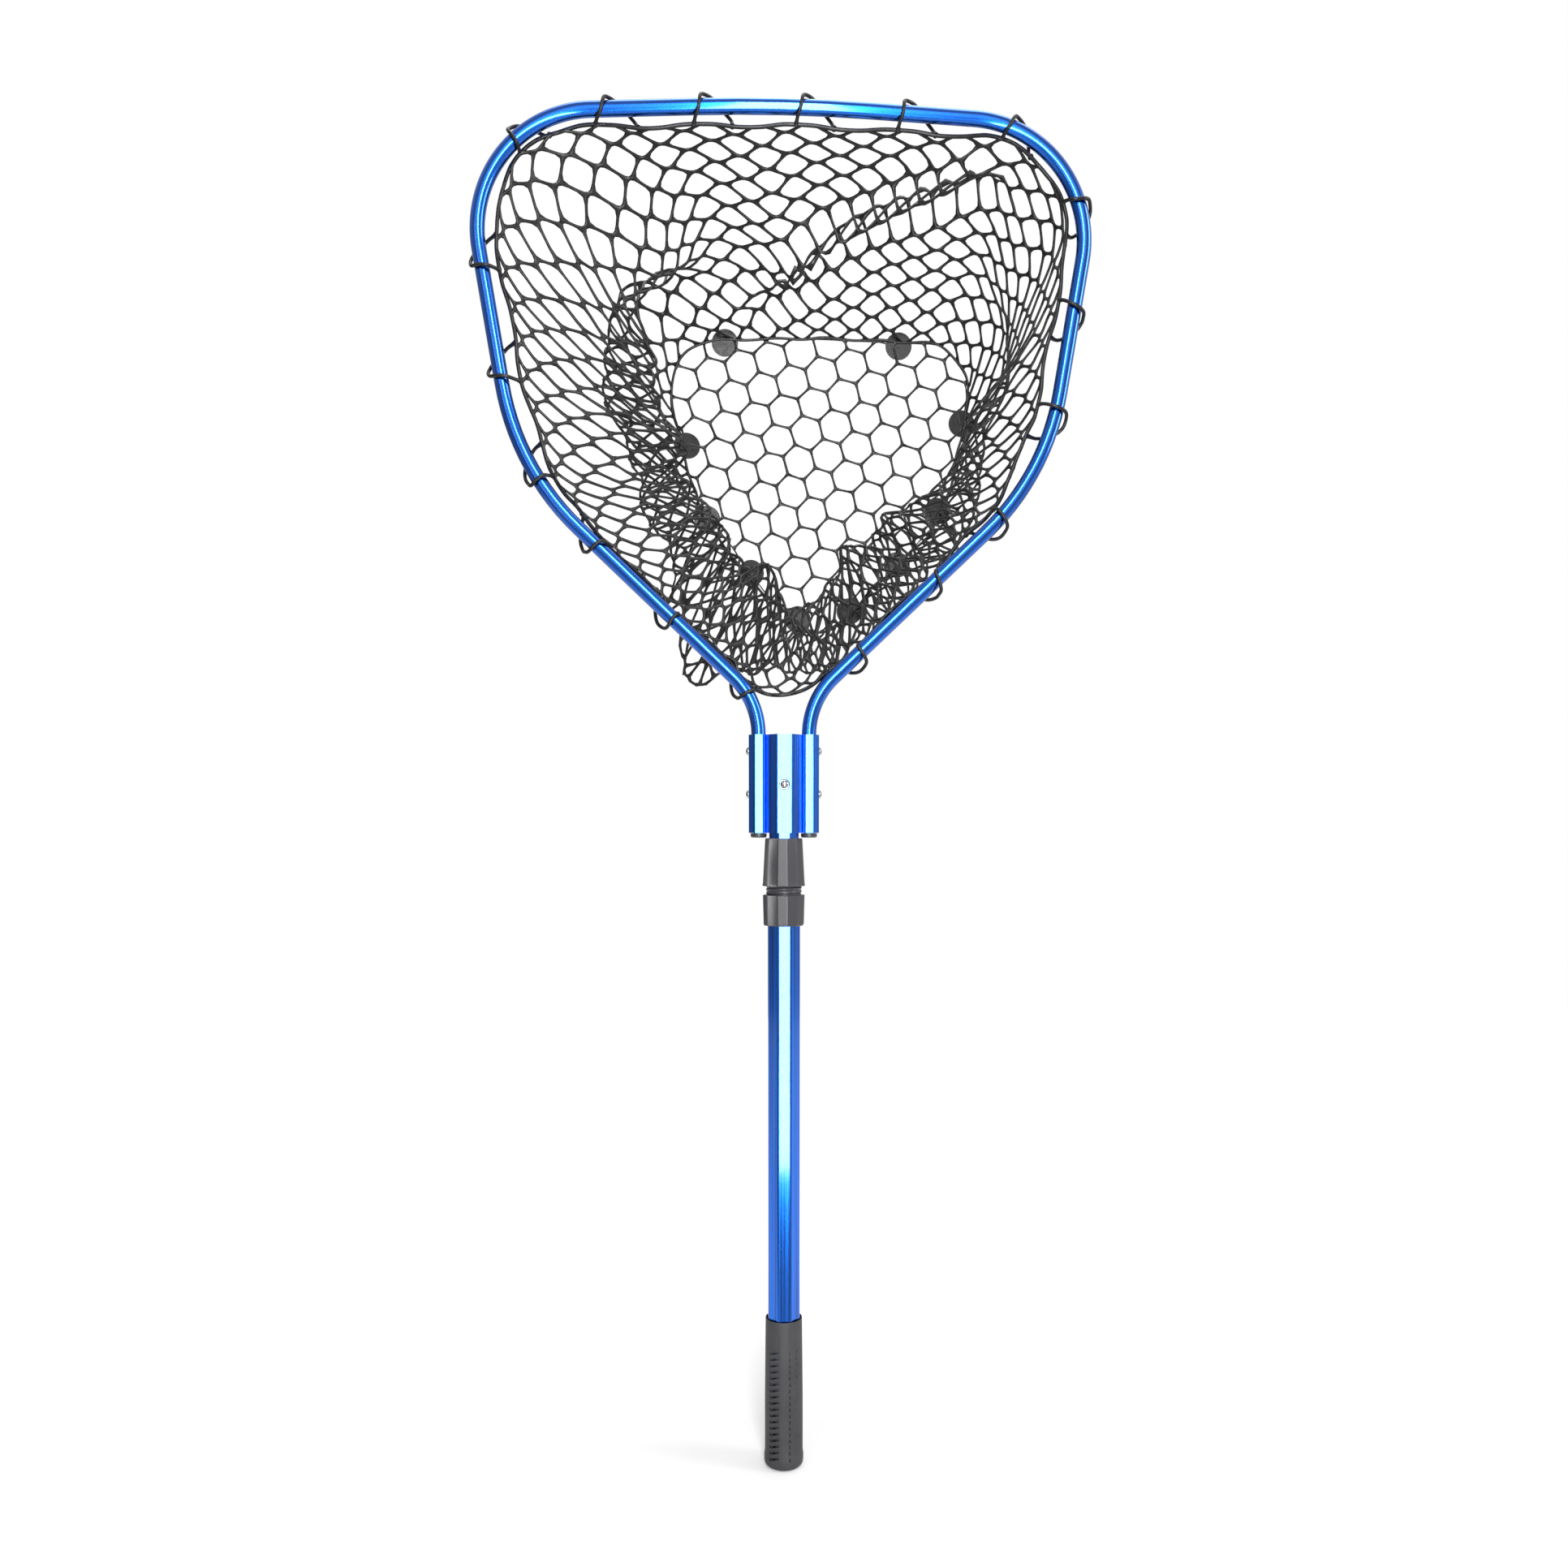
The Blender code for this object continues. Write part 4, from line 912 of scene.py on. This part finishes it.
FOLD_REACH = (1.0, 0.56, 0.84, 0.66, 0.62)
FOLD_DEPTHS = (0.0, 0.48, 0.76, 0.97, 1.0)
CROSS_START, CROSS_END = 138.0, 206.0         # a fold that crosses the crown's wall
CROSS_FOOT, CROSS_HEAD = 0.12, 0.95
CROSS_WIDTH = 0.080
CROSS_SIZE = 0.235
BULGE_BEARINGS = (0, 12, 40, 288, 306, 320, 336, 352, 360)     # where it spills out past the hoop
BULGE_SIZES = (0.0, 0.0, 0.0, 0.0, 0.26, 0.38, 0.22, 0.0, 0.0)
GATHER = 2.2                  # columns that the crown's wall spreads over its share of the floor
BULGE_ROW = 0.72
WAVE = 0.005                  # size of the small folds
CRUMPLE = 0.70
PULL = (0.0, 9.0, -2.0)       # it settles on its back
BACK_BOARD = 0.195            # where a board behind it stops it
HANG_FRAMES = 24
STRAND_HALF = 0.00125
STRAND_THICK = 0.0021
SKIN_WELD = 0.000012          # skins nearer than this are one
CELL_SHOULDER = 0.430         # half a cell's width, in columns
CELL_TOP = 0.070              # half the short strand at its head, in columns
FLOOR_CELL = 0.0290           # across the flats of a floor cell
FLOOR_HALF = 0.00105
FLOOR_LAP = 1.03              # how far the floor's cells run under the seam
SEAM_RADIUS = 0.00125
FLOOR_TURN = 15.0             # degrees that the floor's rows are turned
FLOOR_STEPS = BAG_ROWS + FLOOR_RINGS

cloth_columns = BAG_COLUMNS * COLUMN_STEPS
fine_mouth = even_line(rim_raw, MOUTH_POINTS) - np.array(mouth_middle)
spread = 1 + CROWN_SPREAD * np.clip(fine_mouth[:, 2] / fine_mouth[:, 2].max() * 1.6 - 0.9, -0.4, 0.7) / 0.55
turns_before = np.r_[0.0, np.cumsum(1 / spread)]
shares = np.interp(np.linspace(0, turns_before[-1], cloth_columns, endpoint=False),
                   turns_before, np.arange(MOUTH_POINTS + 1))
mouth = np.stack([np.interp(shares, np.arange(MOUTH_POINTS), fine_mouth[:, k], period=MOUTH_POINTS)
                  for k in range(3)], axis=1)
spokes = mouth / np.linalg.norm(mouth, axis=1, keepdims=True)
bearings = np.degrees(np.arctan2(mouth[:, 0], -mouth[:, 2])) % 360


def gathered(share):
    """The mouth's outline with a share of the gathers: spread at the crown, drawn in near the pole."""
    columns = np.arange(cloth_columns)
    half = cloth_columns / 2
    columns = columns + GATHER * COLUMN_STEPS * share * np.sin(pi * (columns - half) / half)
    return np.stack([np.interp(columns, np.arange(cloth_columns), mouth[:, k], period=cloth_columns)
                     for k in range(3)], axis=1)


cut_depth = CUT_TOP + (CUT_FOOT - CUT_TOP) * (1 - mouth[:, 2] / mouth[:, 2].max()) / 2

# How far each side folds under itself, by bearing from the pole: nowhere at the crown, most on the
# left and near the pole.
fold_share = eased(bearings, FOLD_BEARINGS, FOLD_SHARES)
cut_rows, hung_rows = [], []
for row in range(FLOOR_STEPS + 1):
    down = min(row / BAG_ROWS, 1.0)
    inward = 1 - max(row - BAG_ROWS, 0) / FLOOR_RINGS * (1 - 0.5 / FLOOR_RINGS)
    cut = gathered(down ** CUT_TAPER) * (1 - (1 - FLOOR_SHARE) * down ** CUT_TAPER) * inward
    cut[:, 1] = cut_depth * down
    plain = 1 - (1 - FLOOR_SHARE) * down ** 1.5
    folded = eased(down, FOLD_ROWS, FOLD_REACH)
    reach = plain * (1 - fold_share) + folded * fold_share
    crossing = (down - CROSS_FOOT - (CROSS_HEAD - CROSS_FOOT) * (bearings - CROSS_START)
                / (CROSS_END - CROSS_START)) / CROSS_WIDTH
    swing = np.radians(bearings)
    in_cross = eased(bearings, (0, CROSS_START, CROSS_START + 12, CROSS_END - 26, CROSS_END, 360),
                     (0, 0, 1, 1, 0, 0))
    reach = reach + CROSS_SIZE * in_cross * crossing * np.exp(-crossing ** 2)
    reach = reach + eased(bearings, BULGE_BEARINGS, BULGE_SIZES) * np.exp(-((down - BULGE_ROW) / 0.16) ** 2)
    waves = np.sin(9 * swing + 1.3) + 0.6 * np.sin(14 * swing + 2.1 + 3 * down)
    for pleats, phase, lean in ((17, 0.4, 6.0), (23, 2.9, -7.0), (31, 5.1, 11.0)):
        waves = waves + CRUMPLE * fold_share * np.sin(pleats * swing + phase + lean * down) * down
    hung = gathered(down) * (reach * inward)[:, None]
    hung += spokes * (WAVE * sin(pi * down) * waves)[:, None]
    hung[:, 0] += FLOOR_SHIFT[0] * down
    hung[:, 2] += FLOOR_SHIFT[1] * down
    hung[:, 1] = BAG_HANG * (eased(down, FOLD_ROWS, FOLD_DEPTHS) * fold_share
                             + down * (1 - fold_share))
    hung[:, 1] += WAVE * CRUMPLE * fold_share * sin(pi * down) * np.sin(19 * swing + 2 + 8 * down)
    cut_rows.append(cut)
    hung_rows.append(hung)
cut_rows.append(np.array([[0.0, cut_depth.mean(), 0.0]]))
hung_rows.append(np.array([[FLOOR_SHIFT[0], BAG_HANG, FLOOR_SHIFT[1]]]))
cut_places = np.vstack(cut_rows) + np.array(mouth_middle)
hung_places = np.vstack(hung_rows) + np.array(mouth_middle)


def hang_bag(start, cut):
    """Lets a cloth of the bag's cut settle from its starting shape, and returns its points."""
    faces = []
    for row in range(FLOOR_STEPS):
        for i in range(cloth_columns):
            j = (i + 1) % cloth_columns
            low = row * cloth_columns
            faces.append((low + i, low + j, low + cloth_columns + j, low + cloth_columns + i))
    last = FLOOR_STEPS * cloth_columns
    faces += [(last + i, last + (i + 1) % cloth_columns, last + cloth_columns) for i in range(cloth_columns)]
    mesh = bpy.data.meshes.new("bag_cloth")
    mesh.from_pydata(start.tolist(), [], faces)
    cloth = bpy.data.objects.new("bag_cloth", mesh)
    collection.objects.link(cloth)
    cloth.shape_key_add(name="hung")
    cut_key = cloth.shape_key_add(name="cut")
    cut_key.data.foreach_set("co", cut.ravel())
    cloth.vertex_groups.new(name="rim").add(list(range(cloth_columns)), 1.0, "ADD")
    hanging = cloth.modifiers.new("hang", "CLOTH")
    hanging.settings.vertex_group_mass = "rim"
    hanging.settings.rest_shape_key = cut_key
    hanging.settings.quality = 6
    hanging.settings.mass = 0.0003
    hanging.settings.air_damping = 2.0
    for name, value in (("tension", 12.0), ("compression", 12.0), ("shear", 4.0), ("bending", 0.3)):
        setattr(hanging.settings, name + "_stiffness", value)
    for name, value in (("tension", 5.0), ("compression", 5.0), ("shear", 3.0), ("bending", 0.5)):
        setattr(hanging.settings, name + "_damping", value)
    hanging.collision_settings.distance_min = 0.002
    board_mesh = bpy.data.meshes.new("back_board")
    board_mesh.from_pydata([(x, BACK_BOARD, z) for x, z in ((-1, 0), (1, 0), (1, 2), (-1, 2))],
                           [], [(0, 1, 2, 3)])
    board = bpy.data.objects.new("back_board", board_mesh)
    collection.objects.link(board)
    board.modifiers.new("stop", "COLLISION")
    board.collision.thickness_outer = 0.002
    board.collision.cloth_friction = 8.0
    scene = bpy.context.scene
    scene.gravity = PULL
    scene.frame_start, scene.frame_end = 1, HANG_FRAMES
    hanging.point_cache.frame_start, hanging.point_cache.frame_end = 1, HANG_FRAMES
    for step in range(1, HANG_FRAMES + 1):
        scene.frame_set(step)
    graph = bpy.context.evaluated_depsgraph_get()
    settled = cloth.evaluated_get(graph).to_mesh()
    places = np.empty(len(settled.vertices) * 3, np.float32)
    settled.vertices.foreach_get("co", places)
    bpy.data.objects.remove(cloth)
    bpy.data.objects.remove(board)
    scene.frame_set(1)
    return places.reshape(-1, 3).astype(float)


hung_places = hang_bag(hung_places, cut_places)
bag_grid = hung_places[:-1].reshape(FLOOR_STEPS + 1, cloth_columns, 3)
bag_grid = np.concatenate([bag_grid, np.repeat(hung_places[-1][None, None], cloth_columns, axis=1)])


def cubic_weights(t):
    """Weights of four neighbours for a smooth curve through the middle two."""
    return np.stack([-t + 2 * t ** 2 - t ** 3, 2 - 5 * t ** 2 + 3 * t ** 3,
                     t + 4 * t ** 2 - 3 * t ** 3, -t ** 2 + t ** 3], axis=-1) / 2


def on_bag(cell_places):
    """Places on the hung bag for (column, row) pairs."""
    columns = cell_places[:, 0] * COLUMN_STEPS
    rows = np.clip(cell_places[:, 1], 0.0, FLOOR_STEPS + 0.999)
    i, k = np.floor(columns).astype(int), np.floor(rows).astype(int)
    across, down = cubic_weights(columns - i), cubic_weights(rows - k)
    places = np.zeros((len(cell_places), 3))
    for b in range(4):
        row = np.clip(k + b - 1, 0, FLOOR_STEPS + 1)
        for a in range(4):
            places += bag_grid[row, (i + a - 1) % cloth_columns] * (across[:, a] * down[:, b])[:, None]
    return places


def facing_of(cell_places):
    """The bag's direction towards its inside at (column, row) pairs."""
    small = 0.08
    right = on_bag(cell_places + [small, 0.0]) - on_bag(cell_places - [small, 0.0])
    down = on_bag(cell_places + [0.0, small]) - on_bag(cell_places - [0.0, small])
    facing = np.cross(right, down)
    return facing / np.maximum(np.linalg.norm(facing, axis=1, keepdims=True), 1e-12)


def along_edge(start, end, shares):
    """Points from a cell's corner towards the next."""
    return [(start[0] + (end[0] - start[0]) * t, start[1] + (end[1] - start[1]) * t) for t in shares]


# Wall cells: each is its outline in columns and rows, with the points that lie in a seam marked.
bag_cells = []
for row in range(BAG_ROWS + 1):
    for column in range(BAG_COLUMNS):
        middle = column + 0.5 * (row % 2)
        corners = [(CELL_SHOULDER, 0), (CELL_TOP, 1), (-CELL_TOP, 1), (-CELL_SHOULDER, 0), (-CELL_TOP, -1),
                   (CELL_TOP, -1)]
        if row == 0:
            corners = corners[:4]
        if row == BAG_ROWS:
            corners = corners[3:] + corners[:1]
        outline = []
        for start, end in zip(corners, corners[1:] + corners[:1]):
            if start[1] == end[1]:
                shares = (0.0, 0.5) if abs(start[0] - end[0]) < 0.5 else (0.0, 0.25, 0.5, 0.75)
            else:
                shares = (0.0, 0.22, 0.78)
            outline += along_edge(start, end, shares)
        outline = np.array(outline) + [middle, row]
        in_seam = (outline[:, 1] == 0) | (outline[:, 1] == BAG_ROWS)
        bag_cells.append((outline, in_seam, STRAND_HALF))

# Floor cells: regular hexagons in the floor's own plane, kept inside its outline.
floor_outline = (gathered(1.0) * FLOOR_SHARE)[:, [0, 2]]
outline_angles = np.unwrap(np.arctan2(floor_outline[:, 1], floor_outline[:, 0]))
outline_reach = np.linalg.norm(floor_outline, axis=1)


def floor_to_cells(points):
    """Floor points, from its middle, as columns and rows of the bag."""
    angles = np.arctan2(points[:, 1], points[:, 0])
    angles = (angles - outline_angles[0]) % (2 * pi) + outline_angles[0]
    turn = np.r_[outline_angles, outline_angles[0] + 2 * pi]
    columns = np.interp(angles, turn, np.arange(cloth_columns + 1) / COLUMN_STEPS)
    reach = np.interp(angles, turn, np.r_[outline_reach, outline_reach[0]])
    inward = 1 - np.linalg.norm(points, axis=1) / reach
    solid = 1 - 0.5 / FLOOR_RINGS
    rows = np.where(inward < solid, inward / solid * FLOOR_RINGS,
                    FLOOR_RINGS + (inward - solid) / (1 - solid))
    return np.stack([columns, BAG_ROWS + np.clip(rows, 0.0, FLOOR_RINGS + 1)], axis=1)


def kept_inside(polygon, outline):
    """The part of a convex polygon inside a convex outline, both anticlockwise."""
    for start, end in zip(outline, np.roll(outline, -1, axis=0)):
        run = end - start
        sides = [run[0] * (p[1] - start[1]) - run[1] * (p[0] - start[0]) for p in polygon]
        kept = []
        for i, point in enumerate(polygon):
            ahead, side, other = polygon[(i + 1) % len(polygon)], sides[i], sides[(i + 1) % len(polygon)]
            if side >= 0:
                kept.append(point)
            if (side > 0 > other) or (side < 0 < other):
                kept.append(point + (ahead - point) * (side / (side - other)))
        polygon = kept
        if len(polygon) < 3:
            return []
    return polygon


floor_corner = FLOOR_CELL / 2 / cos(pi / 6)
turn = radians(FLOOR_TURN)
axes = np.array([[cos(turn), sin(turn)], [-sin(turn), cos(turn)]])
border = floor_outline[::3] * FLOOR_LAP
for row in range(-9, 10):
    for column in range(-9, 10):
        middle = np.array([(column + 0.5 * (row % 2)) * FLOOR_CELL, row * floor_corner * 1.5]) @ axes
        hexagon = [middle + np.array([floor_corner * sin(pi / 3 * k), floor_corner * cos(pi / 3 * k)]) @ axes
                   for k in range(0, -6, -1)]
        kept = kept_inside(hexagon, border)
        if len(kept) < 3:
            continue
        outline = []
        for start, end in zip(kept, kept[1:] + kept[:1]):
            length = np.linalg.norm(end - start)
            if length > 1e-6:
                outline += along_edge(start, end, (0.0, 0.22, 0.78) if length > 0.006 else (0.0,))
        cells = floor_to_cells(np.array(outline))
        bag_cells.append((cells, cells[:, 1] < BAG_ROWS + 0.02, FLOOR_HALF))


def strand_sheet(cells):
    """The mid-surface of the web: round each cell, a strip from its strands' middle to its hole."""
    every = np.vstack([outline for outline, _, _ in cells])
    every_place, every_facing = on_bag(every), facing_of(every)
    points, facings, lifts, faces = [], [], [], []
    start = 0
    for outline, in_seam, half in cells:
        count = len(outline)
        place, facing = every_place[start:start + count], every_facing[start:start + count]
        start += count
        middle = place.mean(axis=0)
        along = np.roll(place, -1, axis=0) - np.roll(place, 1, axis=0)
        along /= np.maximum(np.linalg.norm(along, axis=1, keepdims=True), 1e-9)
        room = np.linalg.norm(np.cross(middle - place, along), axis=1)
        share = np.minimum(half / np.maximum(room, 1e-6), 0.62)[:, None]
        edge = place + (middle - place) * share
        for _ in range(2 if half == STRAND_HALF else 1):
            edge = edge * 0.56 + (np.roll(edge, 1, axis=0) + np.roll(edge, -1, axis=0)) * 0.22
        shoulder = place + (edge - place) * 0.62
        first = len(points)
        points += [*place, *shoulder, *edge]
        facings += [*facing] * 3
        lifts += [*np.where(in_seam, 0.0, 1.0), *np.where(in_seam, 0.5, 0.80), *([0.0] * count)]
        for i in range(count):
            j = (i + 1) % count
            for ring in (first, first + count):
                faces.append((ring + i, ring + j, ring + count + j, ring + count + i))
    mesh = bpy.data.meshes.new("strand_sheet")
    mesh.from_pydata(np.array(points).tolist(), [], faces)
    mesh.attributes.new("lift", "FLOAT", "POINT").data.foreach_set("value", lifts)
    mesh.attributes.new("facing", "FLOAT_VECTOR", "POINT").data.foreach_set(
        "vector", np.array(facings).ravel())
    return mesh


# The tree raises the sheet to both sides by half a strand's thickness and joins the two skins at the
# edge of every hole.
web_tree, given = new_tree("strands_from_sheet", {"Thickness": "NodeSocketFloat", "Weld": "NodeSocketFloat"})
web_facing = add_node(web_tree, "GeometryNodeInputNamedAttribute", {"Name": "facing"},
                      data_type="FLOAT_VECTOR")
web_lift = add_node(web_tree, "GeometryNodeInputNamedAttribute", {"Name": "lift"}, data_type="FLOAT")
web_rise = add_node(web_tree, "ShaderNodeMath", {0: web_lift, 1: given["Thickness"]}, operation="MULTIPLY")
web_skins = []
for half_way in (0.5, -0.5):
    reach = add_node(web_tree, "ShaderNodeMath", {0: web_rise, 1: half_way}, operation="MULTIPLY")
    step = add_node(web_tree, "ShaderNodeVectorMath", {0: web_facing, "Scale": reach}, operation="SCALE")
    skin = add_node(web_tree, "GeometryNodeSetPosition", {"Geometry": given["Geometry"], "Offset": step})
    if half_way < 0:
        skin = add_node(web_tree, "GeometryNodeFlipFaces", {"Mesh": skin})
    web_skins.append(skin)
web_whole = add_node(web_tree, "GeometryNodeMergeByDistance", {
    "Geometry": add_node(web_tree, "GeometryNodeJoinGeometry", {"Geometry": web_skins}),
    "Distance": given["Weld"]})
close_tree(web_tree, given, add_node(web_tree, "GeometryNodeSetShadeSmooth", {"Geometry": web_whole}))

bag = grown_piece("net_bag_web", strand_sheet(bag_cells), web_tree,
                  {"Thickness": STRAND_THICK, "Weld": SKIN_WELD}, tpe)
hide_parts("net_bag")
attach(bag, "head")

# The floor is moulded separately and its edge is welded to the wall in a raised seam.
seam_cells = np.stack([np.arange(0, BAG_COLUMNS, 1 / 6), np.full(BAG_COLUMNS * 6, float(BAG_ROWS))], axis=1)
seam = grown_piece("floor_seam", line_mesh("seam_line", [on_bag(seam_cells)], closed=True), tube_tree,
                   {"Radius": SEAM_RADIUS, "Sides": 10}, tpe)
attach(seam, "head")


# ---------------------------------------------------------------- gate discs
# Ten flat discs along the floor's seam, where the TPE was let into the mould, each with the stub of
# its gate in the middle.
DISC_SHARES = (0.06, 0.17, 0.26, 0.36, 0.45, 0.56, 0.67, 0.755, 0.85, 0.955)      # of the way round
DISC_RADIUS = 0.0125
DISC_THICK = 0.0014
STUB_RADIUS, STUB_LENGTH = 0.0016, 0.0032

disc_tree, given = new_tree("discs_on_seam", {"Radius": "NodeSocketFloat", "Thickness": "NodeSocketFloat"})
disc_facing = add_node(disc_tree, "GeometryNodeInputNamedAttribute", {"Name": "facing"},
                       data_type="FLOAT_VECTOR")
disc_turn = add_node(disc_tree, "FunctionNodeAlignRotationToVector", {"Vector": disc_facing}, axis="Z")
disc_plate = add_node(disc_tree, "GeometryNodeMeshCylinder", {
    "Vertices": 32, "Side Segments": 1, "Fill Segments": 4, "Radius": given["Radius"],
    "Depth": given["Thickness"]})
disc_stub = add_node(disc_tree, "GeometryNodeMeshCylinder", {
    "Vertices": 12, "Radius": STUB_RADIUS, "Depth": STUB_LENGTH})
discs_set = add_node(disc_tree, "GeometryNodeInstanceOnPoints", {
    "Points": add_node(disc_tree, "GeometryNodeMeshToPoints", {"Mesh": given["Geometry"]}),
    "Instance": add_node(disc_tree, "GeometryNodeJoinGeometry", {"Geometry": [disc_plate, disc_stub]}),
    "Rotation": disc_turn})
close_tree(disc_tree, given, discs_set)

disc_cells = np.array([(share * BAG_COLUMNS, BAG_ROWS + 0.25) for share in DISC_SHARES])
disc_mesh = bpy.data.meshes.new("disc_places")
disc_mesh.from_pydata(on_bag(disc_cells).tolist(), [], [])
disc_mesh.attributes.new("facing", "FLOAT_VECTOR", "POINT").data.foreach_set(
    "vector", facing_of(disc_cells).ravel())
discs = grown_piece("seam_discs", disc_mesh, disc_tree, {"Radius": DISC_RADIUS, "Thickness": DISC_THICK}, tpe,
                    SHARP_PAST)
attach(discs, "head")
